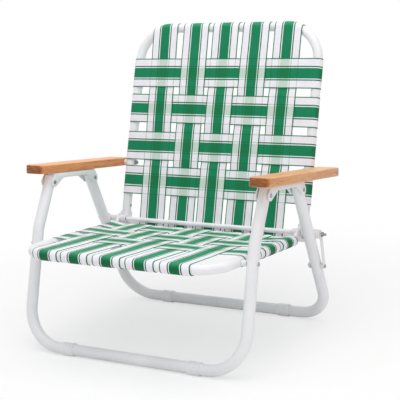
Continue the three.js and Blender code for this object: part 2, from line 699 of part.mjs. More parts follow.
function armShape() {
  const half = ARM_WIDTH / 2 - ARM_EDGE_ROUND;
  const front = -ARM_FRONT_REACH + ARM_EDGE_ROUND;
  const rear = boltOnArm.x + ARM_REAR_REACH - ARM_EDGE_ROUND;
  const frontX = half - ARM_FRONT_ROUND;
  const frontY = front + ARM_FRONT_ROUND;
  const rearX = half - ARM_REAR_ROUND;
  const rearY = rear - ARM_REAR_ROUND;
  const shape = new THREE.Shape();
  shape.absarc(rearX, rearY, ARM_REAR_ROUND, 0, QUARTER, false);
  shape.absarc(-rearX, rearY, ARM_REAR_ROUND, QUARTER, 2 * QUARTER, false);
  shape.absarc(-frontX, frontY, ARM_FRONT_ROUND, 2 * QUARTER, 3 * QUARTER, false);
  shape.absarc(frontX, frontY, ARM_FRONT_ROUND, 3 * QUARTER, 4 * QUARTER, false);
  return shape;
}

function makeArm(side) {
  const rounding = { bevelThickness: ARM_EDGE_ROUND, bevelSize: ARM_EDGE_ROUND, bevelSegments: 1 };
  const plank = slab(armShape(), ARM_THICK - 2 * ARM_EDGE_ROUND, planView, rounding);
  plank.translate(side * armX, 0, ARM_RISE + ARM_THICK / 2);
  return cut(plank, pinHole(boltOnArm));
}

// One flange of the bracket: an ear round each pivot, an arch between them and ends that slope in to the top.
function flangeShape() {
  const top = ARM_RISE - FIT;
  const rear = ARM_PIVOT_SPACING;
  const runout = THREE.MathUtils.degToRad(EAR_RUNOUT);
  const shape = new THREE.Shape();
  shape.moveTo(BRACKET_SETBACK, top);
  shape.lineTo(-EAR_RADIUS, 0);
  shape.absarc(0, 0, EAR_RADIUS, 2 * QUARTER, 4 * QUARTER - runout, false);
  shape.lineTo(ARCH_FRONT, ARCH_HEIGHT);
  shape.lineTo(ARCH_REAR, ARCH_HEIGHT);
  shape.absarc(rear, 0, EAR_RADIUS, 2 * QUARTER + runout, 4 * QUARTER, false);
  shape.lineTo(rear - BRACKET_SETBACK, top);
  return shape;
}

function makeBracket(side) {
  const folded = slab(flangeShape(), 2 * bracketOutside, sideView);
  const length = ARM_PIVOT_SPACING + 4 * EAR_RADIUS;
  const depth = 4 * EAR_RADIUS;
  const channel = new THREE.BoxGeometry(2 * bracketInside, length, depth);
  channel.translate(0, ARM_PIVOT_SPACING / 2, ARM_RISE - FIT - SHEET - depth / 2);
  const bracket = cut(folded, channel, pinHole(ownOrigin), pinHole(rearPivotOnArm));
  return bracket.translate(side * legX, 0, 0);
}

function makeArms() {
  const backFace = frameX + frameRadius + FIT;
  const nutFace = frameX - frameRadius - FIT;
  const flange = bracketOutside + FIT;
  for (const [sideName, side] of SIDES) {
    addPiece(`arm_${sideName}`, makeArm(side), WOOD, armGroup);
    addPiece(`arm_bracket_${sideName}`, makeBracket(side), COAT, armGroup);
    for (const [place, pin] of [['front', ownOrigin], ['rear', rearPivotOnArm]]) {
      const rivet = rivetAlongX(legX - flange, legX + flange, pin, side);
      addPiece(`arm_rivet_${place}_${sideName}`, rivet, STEEL, armGroup);
    }
    const spacer = spacerAlongX(backFace, armInner - FIT, armBackPivot, side);
    const bolt = boltAlongX(nutFace, armOuter + FIT, armBackPivot, side);
    addPiece(`arm_back_spacer_${sideName}`, spacer, PLASTIC);
    addPiece(`arm_back_bolt_${sideName}`, bolt, STEEL);
  }
}

// Links: flat bars outside the rear legs, from the axle's end to a shouldered rivet in the leg.
function linkShape() {
  const turn = axle.clone().sub(linkPivot).angle();
  const half = LINK_WIDTH / 2;
  const shape = new THREE.Shape();
  shape.absarc(axle.x, axle.y, half, turn - QUARTER, turn + QUARTER, false);
  shape.absarc(linkPivot.x, linkPivot.y, half, turn + QUARTER, turn + 3 * QUARTER, false);
  return shape;
}

function makeLinks() {
  const linkInner = axleEnd + FIT;
  const linkOuter = linkInner + LINK_THICK;
  const nutFace = linkOuter + FIT;
  const collar = [
    [legOuter, pinRadius], [legOuter, spacerRadius], [axleEnd, spacerRadius], [axleEnd, pinRadius],
  ];
  for (const [sideName, side] of SIDES) {
    const bar = slab(linkShape(), LINK_THICK, sideView);
    bar.translate(side * (linkInner + linkOuter) / 2, 0, 0);
    const stud = [[linkInner, 0], [linkInner, pinRadius], ...nutProfile(nutFace, 1, STUD_END)];
    const rivet = rivetAlongX(legInner, nutFace, linkPivot, side, collar);
    addPiece(`link_${sideName}`, cut(bar, pinHole(axle), pinHole(linkPivot)), COAT);
    addPiece(`link_nut_${sideName}`, turnedAlongX(stud, axle, side), STEEL);
    addPiece(`link_rivet_${sideName}`, rivet, STEEL);
  }
}

makeLegs();
makeFeet();
makeSeatFrame();
makeSeatPivots();
makeAxle();
makeBackFrame();
makeSeatStraps();
makeBackStraps();
makeArms();
makeLinks();

// The origin lies under the middle of the chair's outline.
const outline = new THREE.Box3().setFromObject(chair, true);
chair.position.y = -(outline.min.y + outline.max.y) / 2;

export default chair;
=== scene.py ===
import json
import math
from collections import namedtuple

import bmesh
import bpy
from mathutils import Matrix, Vector

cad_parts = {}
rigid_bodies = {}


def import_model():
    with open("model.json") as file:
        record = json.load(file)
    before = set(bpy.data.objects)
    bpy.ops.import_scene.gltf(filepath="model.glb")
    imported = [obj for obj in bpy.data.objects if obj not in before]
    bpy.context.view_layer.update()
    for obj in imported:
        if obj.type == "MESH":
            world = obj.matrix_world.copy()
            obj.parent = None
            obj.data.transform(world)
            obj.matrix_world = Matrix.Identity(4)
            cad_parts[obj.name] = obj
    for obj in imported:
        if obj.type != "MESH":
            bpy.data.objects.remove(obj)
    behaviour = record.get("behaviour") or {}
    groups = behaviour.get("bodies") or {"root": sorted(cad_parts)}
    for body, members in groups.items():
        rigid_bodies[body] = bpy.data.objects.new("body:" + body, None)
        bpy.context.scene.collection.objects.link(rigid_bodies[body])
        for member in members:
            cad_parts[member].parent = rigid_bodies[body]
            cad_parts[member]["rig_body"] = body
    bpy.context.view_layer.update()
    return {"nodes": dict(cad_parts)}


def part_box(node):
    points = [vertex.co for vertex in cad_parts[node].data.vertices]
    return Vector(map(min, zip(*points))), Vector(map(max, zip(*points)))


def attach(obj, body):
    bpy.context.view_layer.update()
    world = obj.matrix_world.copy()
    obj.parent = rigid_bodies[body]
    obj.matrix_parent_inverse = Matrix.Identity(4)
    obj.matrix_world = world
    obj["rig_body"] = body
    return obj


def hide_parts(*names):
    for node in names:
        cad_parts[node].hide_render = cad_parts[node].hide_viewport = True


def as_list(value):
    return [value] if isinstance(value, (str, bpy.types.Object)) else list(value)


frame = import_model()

MM = 0.001
SIDES = (("left", -1), ("right", 1))
moved = Matrix.Translation


def mm(*lengths):
    return [length * MM for length in lengths]


def radians(*turns):
    return [math.radians(turn) for turn in turns]


def middle(node):
    """Middle of a solid of the frame."""
    low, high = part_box(node)
    return (low + high) / 2


def pivot_of(node):
    """Middle of a solid in side view, set on the chair's middle plane."""
    return Vector((0, *middle(node).yz))


def body_of(node):
    return frame["nodes"][node]["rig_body"]


# Tubes. Tubes, pins and heads are measured across; bores, eyes, ears and bends are radii
LEG_TUBE, FRAME_TUBE, THIN_BAR, THIN_BAR_WALL = mm(22, 19, 12, 1.2)
FRONT_CORNER, REAR_CORNER, KNEE_BEND = mm(75, 62, 70)
SEAT_CORNER, BACK_CORNER = mm(62, 72)
TUBE_SIDES = 36
QUARTER_BEND_STEPS = 18
LEAST_BEND_STEPS = 4

# Places of the pivots, from the solids of the frame
LEG_X = middle("arm_bracket_right").x
FRAME_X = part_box("seat_frame")[1].x - FRAME_TUBE / 2
AXLE = middle("axle_rod")
SEAT_PIVOT = pivot_of("seat_pivot_spacer_right")
ARM_FRONT = pivot_of("arm_rivet_front_right")
ARM_REAR = pivot_of("arm_rivet_rear_right")
ARM_BACK = pivot_of("arm_back_spacer_right")
LINK_PIVOT = pivot_of("link_rivet_right")
GROUND_BAR_HEIGHT = 12.3 * MM
FRONT_BAR = Vector((0, middle("foot_front_right").y, GROUND_BAR_HEIGHT))
REAR_BAR = Vector((0, middle("foot_rear_right").y, GROUND_BAR_HEIGHT))
KNEE_SETBACK, KNEE_HEIGHT = mm(62.3, 232.5)
KNEE = Vector((0, FRONT_BAR.y + KNEE_SETBACK, KNEE_HEIGHT))
LEG_END = 11 * MM
GAP = 0.3 * MM
LEG_BORE = LEG_TUBE / 2 + GAP
LEG_INNER = LEG_X - LEG_TUBE / 2 - GAP
LEG_OUTER = LEG_X + LEG_TUBE / 2 + GAP

# Seat, back and arm are shaped lying straight, then set on their slopes
SEAT_SLOPE, BACK_LEAN, ARM_SLOPE = radians(4.2, 16.75, 7.3)
ON_SEAT = moved(SEAT_PIVOT) @ Matrix.Rotation(-SEAT_SLOPE, 4, "X")
ON_BACK = moved(AXLE) @ Matrix.Rotation(-BACK_LEAN, 4, "X")
ON_ARM = moved(ARM_FRONT) @ Matrix.Rotation(-ARM_SLOPE, 4, "X")
ON_CHAIR = Matrix.Identity(4)
AXLE_ON_SEAT = ON_SEAT.inverted() @ AXLE
BOLT_ON_ARM = ON_ARM.inverted() @ ARM_BACK
BOLT_ON_BACK = ON_BACK.inverted() @ ARM_BACK

# Seat tube and its tongues. A step of a tongue gives its place behind the tube's end, its share of the
# way to the eye, its half height and its share of the tube's width
SEAT_FRONT = -92 * MM
SEAT_END = AXLE_ON_SEAT.y - 12.5 * MM
SEAT_TUBE_END = SEAT_END - 10 * MM
SEAT_REAR_BAR = Vector((0, AXLE_ON_SEAT.y - 18.5 * MM, -0.5 * MM))
TONGUE_X = FRAME_X + 4.7 * MM
TONGUE_THICK, TONGUE_EYE = mm(6, 12)
TONGUE_FLAT = TONGUE_THICK / FRAME_TUBE
TONGUE_START = -14 * MM
TONGUE_STEPS = [
    (-8 * MM, 0.0, FRAME_TUBE / 2, 1.0),
    (-2 * MM, 0.3, 11 * MM, 0.5),
    (4 * MM, 0.8, 11.6 * MM, TONGUE_FLAT),
]
TONGUE_EYE_TURNS = radians(0, 20, 40, 55, 68, 78, 86)

# Back tube and its hinge ends
BACK_OFFSET = 17.5 * MM
BACK_SIDE_X = {-1: -FRAME_X, 1: FRAME_X + 2.2 * MM}
BACK_MIDDLE_X = (BACK_SIDE_X[-1] + BACK_SIDE_X[1]) / 2
BACK_TOP = BOLT_ON_BACK.z + 290.6 * MM
BACK_END = 17 * MM
BACK_LOWER_BAR = Vector((0, BACK_OFFSET - FRAME_TUBE / 2 + THIN_BAR / 2, -9 * MM))
HINGE_EYE = 8.5 * MM
HINGE_INNER = FRAME_X - FRAME_TUBE / 2 + GAP
HINGE_TIP, HINGE_HEEL, HINGE_PLAY = mm(-18, -12, 0.5)
TONGUE_PLAY = 0.6 * MM
BOSS = 15 * MM
BOSS_FACE = HINGE_INNER - 3.3 * MM
HINGE_RIVET = Vector((0, BACK_OFFSET, 30 * MM))

# Webbing
STRAP_WIDTH, STRAP_THICK, STRAP_LAP = mm(61.2, 0.8, 0.5)
STRAP_COLUMNS = 10
STRAP_STATION = 5 * MM
HOOK_STATIONS = 15
HOOK_TURN = math.radians(225)
LAP_RAMP, SIDE_RAMP = mm(24, 80)
LONG_PITCH = 71.3 * MM
LONG_PLACES = [step * LONG_PITCH for step in (-2, -1, 0, 1, 2)]
SEAT_FIRST_ROW = 44.5 * MM
SEAT_LAST_ROW = SEAT_REAR_BAR.y - 4.1 * MM - STRAP_WIDTH / 2
SEAT_CROSS_PLACES = [SEAT_FIRST_ROW, (SEAT_FIRST_ROW + SEAT_LAST_ROW) / 2, SEAT_LAST_ROW]
BACK_CROSS_PLACES = [BOLT_ON_BACK.z + rise for rise in mm(193.2, 117.5, 37.4, -37.8)]
HOOK_ON_FRAME = FRAME_TUBE / 2 + GAP + STRAP_THICK / 2
HOOK_ON_BAR = THIN_BAR / 2 + GAP + STRAP_THICK / 2
SCREW_SPREAD = 17 * MM
SCREW_ROUND = math.radians(32)
# Painted light on the webbing: least share, slope and gain, from how far a strap faces up
PAINTED_LIGHT_LEAST, PAINTED_LIGHT_SLOPE, PAINTED_LIGHT_GAIN = 0.1, 0.65, 1.6

# The straps are laid by hand, so they are not quite parallel: shift of each strap at its two ends
SEAT_SHIFTS_FRONT = mm(-5.8, -7.6, -6.6, -6.3, -4.6)
SEAT_SHIFTS_REAR = mm(-1.4, -1.8, -2.5, -8.0, -7.1)
SEAT_HOOK_DRIFT = 2.2 * MM
SEAT_ROWS_LEFT = mm(1.9, 1.6, 1.0)
SEAT_ROWS_RIGHT = mm(-2.4, -0.6, -3.5)
BACK_SHIFTS_TOP = mm(-3.1, 1.5, 1.6, 1.3, 3.0)
BACK_SHIFTS_LOW = mm(5.2, 6.2, 1.1, -1.1, -0.6)
BACK_ROWS_LEFT = mm(0.0, -0.5, -1.5, 0.0)
BACK_ROWS_RIGHT = mm(0.1, -2.0, 0.9, 0.8)

# Feet
FOOT_INSET, FOOT_LENGTH, FOOT_WALL = mm(113.3, 26, 1.5)

# Arms and brackets
ARM_WIDTH, ARM_THICK, ARM_RISE = mm(45, 17.3, 18)
ARM_X = LEG_X + 8.7 * MM
ARM_FRONT_END = -42 * MM
ARM_REAR_END = BOLT_ON_ARM.y + 10 * MM
ARM_FRONT_ROUND, ARM_REAR_ROUND, ARM_EDGE = mm(13, 3, 2.6)
# Shares of end grain and of the top, which gets a painted highlight in the wood
GRAIN_FROM, END_GRAIN_RANGE, TOP_HIGHLIGHT_RANGE = 0.3, 0.65, 0.5
SHEET_METAL = 1.8 * MM
BRACKET_HALF = LEG_TUBE / 2 + 0.5 * MM + SHEET_METAL
BRACKET_TOP = ARM_RISE - GAP
BRACKET_ARCH = [mm(27, 6), mm(31, 7.5)]
BRACKET_FOLD, BRACKET_EDGE = mm(2.5, 0.35)
BRACKET_SCREWS = mm(38, 98)
EAR = 10 * MM
PIVOT_SPACING = (ARM_REAR - ARM_FRONT).length

# Pins and fasteners. A profile gives pairs of reach and radius
PIN = 5 * MM
HEAD, HEAD_HEIGHT, HEAD_RIM = mm(7.8, 1.7, 0.4)
HEAD_TURNS = radians(18, 36, 54, 72)
NUT, NUT_HEIGHT = mm(9, 4)
THREAD_END, STUD_END = mm(2, 6)
CHAMFER, MOULDED_EDGE, SLEEVE_EDGE = mm(0.5, 0.8, 0.4)
SPACER = 12 * MM
AXLE_TUBE = 9.5 * MM
AXLE_TUBE_REACH = BOSS_FACE - 2.2 * MM
AXLE_CORE = 6.4 * MM
AXLE_BORE = AXLE_CORE / 2 + GAP
COLLAR, COLLAR_LENGTH = mm(17.8, 4.2)
NECK = 12.4 * MM
SADDLE_SETBACK = 1.5 * MM
LINK_WIDTH, LINK_THICK = mm(9.5, 2.2)
AXLE_END = LEG_OUTER + COLLAR_LENGTH
LOW_HEAD = [mm(1.3, 0), mm(1.1, 2), mm(0.5, 3.2), mm(0, 3.5), mm(0, 1.6)]
FLAT_HEAD = [mm(0, 1.6), mm(0, 3), mm(0.3, 2.6), mm(0.4, 0)]
WASHER_SCREW = [mm(0, 0), mm(0, 4.6), mm(0.5, 4.6), mm(0.5, 3.2), mm(0.9, 3.2), mm(1.5, 2), mm(1.7, 0)]
WASHER_SCREW_SIDES = 12

# Shading, easing of edges and directions
SMOOTH_UNDER, SHARP_OVER = radians(35, 50)
WELD_UNDER = 0.01 * MM
ALONG_X = (0, math.pi / 2, 0)
UP = Vector((0, 0, 1))

# Floor, light and camera
FLOOR_SIZE = 12
FLOOR_FADE = {"From Min": 0.45, "From Max": 1.0, "To Min": 0.55}
AMBIENT, BACKDROP = 0.55, 1.0
LAMPS = (
    ("overhead_softbox", (0.1, -0.3, 2.4), 2.2, 31.5),
    ("side_softbox", (2.0, -1.4, 1.6), 1.6, 9),
)
LAMP_AIM = Vector((0, 0, 0.25))
CAMERA_PLACE = (1.1865, -1.8816, 0.7544)
CAMERA_YAW, CAMERA_DIP, CAMERA_ROLL = 0.5429, -0.2146, -0.0599
CAMERA_LENS, CAMERA_SENSOR = 104.05, 36


# Finishes
WHITE = (1, 1, 1, 1)
# Sockets of a node that mixes colours, by their number
MIX_SHARE, MIX_FIRST, MIX_SECOND, MIX_RESULT = 0, 6, 7, 2


class Nodes:
    """Node tree of a material or of the room."""

    def __init__(self, owner):
        owner.use_nodes = True
        self.tree = owner.node_tree

    def feed(self, socket, value):
        if isinstance(value, bpy.types.NodeSocket):
            self.tree.links.new(value, socket)
        else:
            socket.default_value = value

    def node(self, kind, inputs=None, **settings):
        made = self.tree.nodes.new("ShaderNode" + kind)
        for key, value in settings.items():
            setattr(made, key, value)
        for socket, value in (inputs or {}).items():
            self.feed(made.inputs[socket], value)
        return made

    def math(self, operation, *values):
        return self.node("Math", dict(enumerate(values)), operation=operation).outputs[0]

    def blend(self, share, first, second, output):
        """Two shaders mixed by a share and sent to the output."""
        mixed = self.node("MixShader", {0: share, 1: first.outputs[0], 2: second.outputs[0]})
        self.feed(self.tree.nodes[output].inputs["Surface"], mixed.outputs[0])


class Finish(Nodes):
    """A material that is put together node by node."""

    def __init__(self, name, roughness, metallic=0.0):
        self.material = bpy.data.materials.new(name)
        super().__init__(self.material)
        self.shader = self.tree.nodes["Principled BSDF"]
        self.give("Roughness", roughness)
        self.give("Metallic", metallic)
        self.place = self.node("TexCoord").outputs["Object"]

    def give(self, socket, value):
        self.feed(self.shader.inputs[socket], value)

    def split(self, vector):
        return self.node("SeparateXYZ", {0: vector}).outputs

    def uv(self, name):
        """The two values of a UV map."""
        parts = self.split(self.node("UVMap", uv_map=name).outputs["UV"])
        return parts["X"], parts["Y"]

    def mapped(self, vector, setting, value):
        return self.node("Mapping", {"Vector": vector, setting: value}).outputs["Vector"]

    def noise(self, scale, detail, place=None):
        inputs = {"Scale": scale, "Detail": detail, "Vector": place or self.place}
        return self.node("TexNoise", inputs).outputs["Fac"]

    def ramp(self, value, *stops, interpolation="LINEAR"):
        made = self.node("ValToRGB", {"Fac": value})
        made.color_ramp.interpolation = interpolation
        elements = made.color_ramp.elements
        while len(elements) < len(stops):
            elements.new(0.5)
        for element, (position, colour) in zip(elements, stops):
            element.position = position
            element.color = (*colour, 1)
        return made.outputs["Color"]

    def mix(self, share, first, second, blend="MIX"):
        inputs = {MIX_SHARE: share}
        for socket, value in ((MIX_FIRST, first), (MIX_SECOND, second)):
            inputs[socket] = value if isinstance(value, bpy.types.NodeSocket) else (*value, 1)
        return self.node("Mix", inputs, data_type="RGBA", blend_type=blend).outputs[MIX_RESULT]

    def bump(self, height, strength, distance):
        made = self.node("Bump", {"Strength": strength, "Distance": distance, "Height": height})
        self.give("Normal", made.outputs["Normal"])

    def colour(self, value):
        self.give("Base Color", value)

    def roughness(self, value, spread, least):
        """Roughness from least upwards, by a value from 0 to 1."""
        self.give("Roughness", self.math("MULTIPLY_ADD", value, spread, least))


def tone(red, green, blue):
    """Colour as it looks on a screen, from 0 to 255, turned into the light that it stands for."""
    return tuple(
        c / 255 / 12.92 if c / 255 <= 0.04045 else ((c / 255 + 0.055) / 1.055) ** 2.4
        for c in (red, green, blue)
    )


def white_powder_coat():
    """Coat with soft clouds, and painted shade in patches near the floor."""
    coat = Finish("white_powder_coat", 0.42)
    clean = coat.ramp(coat.noise(9, 4), (0.35, tone(231, 231, 234)), (0.65, tone(240, 240, 243)))
    # Painted shade: within about 33 mm of the floor the coat is mixed toward grey in patches
    low = coat.math("SUBTRACT", 1.0, coat.math("MULTIPLY", coat.split(coat.place)["Z"], 30.0))
    painted_floor_shade = coat.math("MULTIPLY", coat.math("MAXIMUM", low, 0.0), coat.noise(140, 5))
    coat.colour(coat.mix(coat.math("MULTIPLY", painted_floor_shade, 0.22), clean, tone(168, 165, 158)))
    coat.roughness(coat.noise(260, 2), 0.16, 0.34)
    coat.bump(coat.noise(900, 2), 0.10, 0.0004)
    return coat.material


def white_moulded_plastic():
    plastic = Finish("white_moulded_plastic", 0.5)
    cloud = plastic.noise(30, 3)
    plastic.colour(plastic.ramp(cloud, (0.3, tone(226, 226, 228)), (0.7, tone(238, 238, 240))))
    plastic.roughness(plastic.noise(400, 2), 0.2, 0.4)
    plastic.bump(plastic.noise(1600, 2), 0.12, 0.0003)
    return plastic.material


def zinc_plated_steel():
    steel = Finish("zinc_plated_steel", 0.36, 1.0)
    cloud = steel.noise(220, 4)
    steel.colour(steel.ramp(cloud, (0.3, tone(132, 132, 138)), (0.7, tone(186, 186, 192))))
    steel.roughness(steel.noise(700, 3), 0.3, 0.24)
    steel.bump(steel.noise(1800, 2), 0.15, 0.0003)
    return steel.material


def oiled_wood():
    """Varnished boards: the left one is redder than the right one. UV map grain gives the share of end grain
    and the share of the top,
    which gets a painted highlight: paler tones for light glancing off the varnish."""
    wood = Finish("oiled_wood", 0.5)
    lie = wood.mapped(wood.place, "Rotation", (ARM_SLOPE, 0, 0))
    stretched = wood.mapped(lie, "Scale", (1, 0.05, 1))
    layers = wood.mapped(lie, "Scale", (0.15, 0.15, 1))
    fibres = wood.noise(900, 4, stretched)
    bands = wood.noise(130, 3, stretched)
    pores = wood.noise(2600, 2, stretched)
    end_grain, top = wood.uv("grain")
    left_board = wood.ramp(
        bands, (0.30, tone(194, 110, 56)), (0.48, tone(216, 136, 78)), (0.62, tone(232, 160, 102)))
    right_board = wood.ramp(
        bands, (0.30, tone(184, 138, 84)), (0.48, tone(206, 156, 104)), (0.62, tone(226, 178, 124)))
    on_right = wood.math("GREATER_THAN", wood.split(wood.place)["X"], 0.0)
    board = wood.mix(on_right, left_board, right_board)
    # Painted highlight: the top is mixed toward these paler tones, for light glancing off the varnish
    pale = wood.ramp(bands, (0.30, tone(232, 158, 98)), (0.60, tone(248, 190, 134)))
    board = wood.mix(wood.math("MULTIPLY", top, 0.55), board, pale)
    streaks = wood.ramp(fibres, (0.34, tone(150, 84, 46)), (0.56, tone(240, 190, 150)))
    specks = wood.ramp(pores, (0.28, tone(128, 70, 40)), (0.40, tone(226, 165, 120)))
    along = wood.mix(0.4, wood.mix(0.3, board, streaks), specks, "SOFT_LIGHT")
    across = wood.ramp(
        wood.noise(420, 3, layers),
        (0.36, tone(118, 62, 22)), (0.52, tone(146, 84, 36)), (0.66, tone(172, 110, 50)))
    wood.colour(wood.mix(end_grain, along, across))
    wood.roughness(fibres, 0.25, 0.42)
    wood.give("Coat Weight", 0.55)
    wood.give("Coat Roughness", 0.3)
    wood.give("Specular IOR Level", 0.25)
    wood.bump(wood.math("ADD", fibres, pores), 0.1, 0.0004)
    return wood.material


# Shares of a strap's half width at which its yarn changes between green and white
STRIPE_EDGES = (0.0, 0.34, 0.4, 0.485, 0.93)
WARPS_PER_WIDTH = 46
WEFTS_PER_WIDTH = 30


def green_webbing():
    """Striped webbing with painted light: deeper green where a strap faces down or forward, paler where it
    faces up. UV map strap gives the place across and along a strap, UV map under the place across the strap
    below it, with 1 in its second value where there is one, and a third UV map how far the strap faces up,
    from 0 to 1, which sets the painted light."""
    web = Finish("green_striped_webbing", 0.62)
    white = (1, 1, 1)

    def off_centre(across):
        return web.math("ABSOLUTE", web.math("SUBTRACT", across, 0.5))

    def stripes(across, on_green, on_white):
        stops = zip(STRIPE_EDGES, (on_green, on_white, on_green, on_white, on_green))
        share = web.math("MULTIPLY", off_centre(across), 2.0)
        return web.ramp(share, *stops, interpolation="CONSTANT")

    def threads(place, count):
        return web.math("ABSOLUTE", web.math("SINE", web.math("MULTIPLY", place, math.pi * count)))

    across, along = web.uv("strap")
    below, covered = web.uv("under")
    # Painted light: deep green where a strap faces down or forward, as on the front hooks, bright green where
    # it faces up, for painted shade and painted sheen
    sun, _ = web.uv("sun")
    green = web.ramp(
        sun, (0.0, tone(0, 104, 61)), (0.5, tone(12, 131, 87)), (1.0, tone(38, 149, 106)))
    yarn = web.mix(stripes(across, (0, 0, 0), white), green, tone(249, 244, 252))
    shows = web.math("MULTIPLY", web.math("LESS_THAN", off_centre(below), 0.5), covered)
    through = stripes(below, (0.66, 0.81, 0.68), white)
    tinted = web.mix(shows, yarn, web.mix(1.0, yarn, through, "MULTIPLY"))
    weft = web.math("MULTIPLY_ADD", threads(along, WEFTS_PER_WIDTH), 0.6, 0.4)
    weave = web.math("MULTIPLY", threads(across, WARPS_PER_WIDTH), weft)
    shade = web.ramp(weave, (0.0, (0.86, 0.86, 0.86)), (0.5, white))
    worn = web.ramp(web.noise(55, 4), (0.3, (0.94, 0.94, 0.95)), (0.7, white))
    web.colour(web.mix(1.0, web.mix(1.0, tinted, shade, "MULTIPLY"), worn, "MULTIPLY"))
    web.roughness(web.noise(300, 2), 0.2, 0.42)
    web.give("Specular IOR Level", 0.2)
    web.bump(weave, 0.3, 0.0004)
    return web.material


COAT = white_powder_coat()
PLASTIC = white_moulded_plastic()
STEEL = zinc_plated_steel()
WOOD = oiled_wood()
WEBBING = green_webbing()


# Handling of pieces on the bench
def clear_bench():
    if bpy.context.mode != "OBJECT":
        bpy.ops.object.mode_set(mode="OBJECT")
    bpy.ops.object.select_all(action="DESELECT")


def pick(piece):
    clear_bench()
    piece.select_set(True)
    bpy.context.view_layer.objects.active = piece


def start_shaping():
    bpy.ops.object.mode_set(mode="EDIT")
    bpy.ops.mesh.select_mode(type="VERT")
    bpy.ops.mesh.select_all(action="SELECT")


def stop_shaping():
    bpy.ops.mesh.select_all(action="SELECT")
    bpy.ops.mesh.remove_doubles(threshold=WELD_UNDER)
    face_outward()
    bpy.ops.object.mode_set(mode="OBJECT")
    return bpy.context.object


def face_outward():
    bpy.ops.mesh.select_all(action="SELECT")
    bpy.ops.mesh.normals_make_consistent(inside=False)


def pull(value):
    bpy.ops.mesh.extrude_region_move(TRANSFORM_OT_translate={"value": value})


def pick_edges(wanted):
    """Select the edges of the piece in hand that pass a test."""
    bpy.ops.mesh.select_all(action="DESELECT")
    bpy.ops.mesh.select_mode(type="EDGE")
    mesh = bmesh.from_edit_mesh(bpy.context.object.data)
    for edge in mesh.edges:
        edge.select_set(wanted(edge))
    bmesh.update_edit_mesh(bpy.context.object.data)


def ease(width, segments):
    bpy.ops.mesh.bevel(offset=width, segments=segments, affect="EDGES")


def ease_sharp_edges(width, segments):
    bpy.ops.mesh.select_all(action="DESELECT")
    bpy.ops.mesh.select_mode(type="EDGE")
    bpy.ops.mesh.edges_select_sharp(sharpness=SHARP_OVER)
    ease(width, segments)


def ring_of_points(points):
    """A closed ring of corners, ready to be filled, pulled or spun."""
    clear_bench()
    bpy.ops.mesh.primitive_circle_add(vertices=len(points), radius=LEG_TUBE)
    ring = bpy.context.object
    for corner, point in zip(ring.data.vertices, points):
        corner.co = point
    return ring


def tube_ring(diameter, place, turn, fill="NOTHING"):
    """Round section from which a tube is drawn out."""
    clear_bench()
    bpy.ops.mesh.primitive_circle_add(
        vertices=TUBE_SIDES, radius=diameter / 2, fill_type=fill, location=place, rotation=turn)
    bpy.ops.object.transform_apply()
    start_shaping()


def cylinder(sides, radius, depth, place, turn=ALONG_X):
    clear_bench()
    bpy.ops.mesh.primitive_cylinder_add(
        vertices=sides, radius=radius, depth=depth, location=place, rotation=turn)
    return bpy.context.object


def bring_in(name, data):
    """A new object of the scene."""
    made = bpy.data.objects.new(name, data)
    bpy.context.scene.collection.objects.link(made)
    return made


def modify(piece, kind, **settings):
    """Put a modifier on a piece and apply it."""
    pick(piece)
    made = piece.modifiers.new(kind, kind)
    for key, value in settings.items():
        setattr(made, key, value)
    bpy.ops.object.modifier_apply(modifier=made.name)


def carve(piece, cutter):
    """Cut the shape of one piece out of another."""
    modify(piece, "BOOLEAN", operation="DIFFERENCE", solver="EXACT", object=cutter)
    bpy.data.objects.remove(cutter)
    return piece


def weld(pieces):
    """Several pieces made one."""
    clear_bench()
    for piece in pieces:
        piece.select_set(True)
    bpy.context.view_layer.objects.active = pieces[0]
    bpy.ops.object.join()
    return pieces[0]


def handed(piece, side):
    """A piece made for the right side, mirrored if it goes to the left."""
    if side < 0:
        piece.data.transform(Matrix.Diagonal((-1, 1, 1, 1)))
        piece.data.flip_normals()
    return piece


def settle(piece, name, place, finish, *nodes, body=None):
    """Name, place, finish and body of a finished piece, and the solids that it stands for. It rides on
    the first solid's body if no other is given."""
    pick(piece)
    bpy.ops.object.shade_smooth_by_angle(angle=SMOOTH_UNDER)
    piece.name = name
    piece.data.name = name
    piece.data.transform(place)
    piece.data.materials.clear()
    piece.data.materials.append(finish)
    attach(piece, body or body_of(nodes[0]))
    if nodes:
        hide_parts(*nodes)


# Tubes
def tube_through(diameter, corners, bends):
    """Round tube along the straight runs between corners, bent by a radius at each inner corner."""
    heading = (corners[1] - corners[0]).normalized()
    tube_ring(diameter, corners[0], UP.rotation_difference(heading).to_euler())
    here = corners[0]
    for corner, after, radius in zip(corners[1:-1], corners[2:], bends):
        into = (corner - here).normalized()
        out = (after - corner).normalized()
        turn = into.angle(out)
        reach = radius * math.tan(turn / 2)
        bend_start = corner - into * reach
        inward = (out - into * into.dot(out)).normalized()
        pull(bend_start - here)
        bpy.ops.mesh.spin(
            steps=max(LEAST_BEND_STEPS, round(QUARTER_BEND_STEPS * turn / (math.pi / 2))), angle=-turn,
            center=bend_start + inward * radius, axis=into.cross(inward))
        here = corner + out * reach
    pull(corners[-1] - here)
    bpy.ops.mesh.select_all(action="SELECT")
    bpy.ops.mesh.fill_holes(sides=0)
    return stop_shaping()


def both_legs(side_points):
    right = [Vector((LEG_X, point.y, point.z)) for point in side_points]
    left = [Vector((-LEG_X, point.y, point.z)) for point in reversed(side_points)]
    return right + left


def make_legs():
    front_top = ARM_FRONT + (ARM_FRONT - KNEE).normalized() * LEG_END
    rear_top = ARM_REAR + (ARM_REAR - REAR_BAR).normalized() * LEG_END
    front_bends = [KNEE_BEND, FRONT_CORNER, FRONT_CORNER, KNEE_BEND]
    front = tube_through(LEG_TUBE, both_legs([front_top, KNEE, FRONT_BAR]), front_bends)
    rear = tube_through(LEG_TUBE, both_legs([rear_top, REAR_BAR]), [REAR_CORNER, REAR_CORNER])
    settle(front, "front_leg_tube", ON_CHAIR, COAT, "front_leg_frame")
    settle(rear, "rear_leg_tube", ON_CHAIR, COAT, "rear_leg_frame")


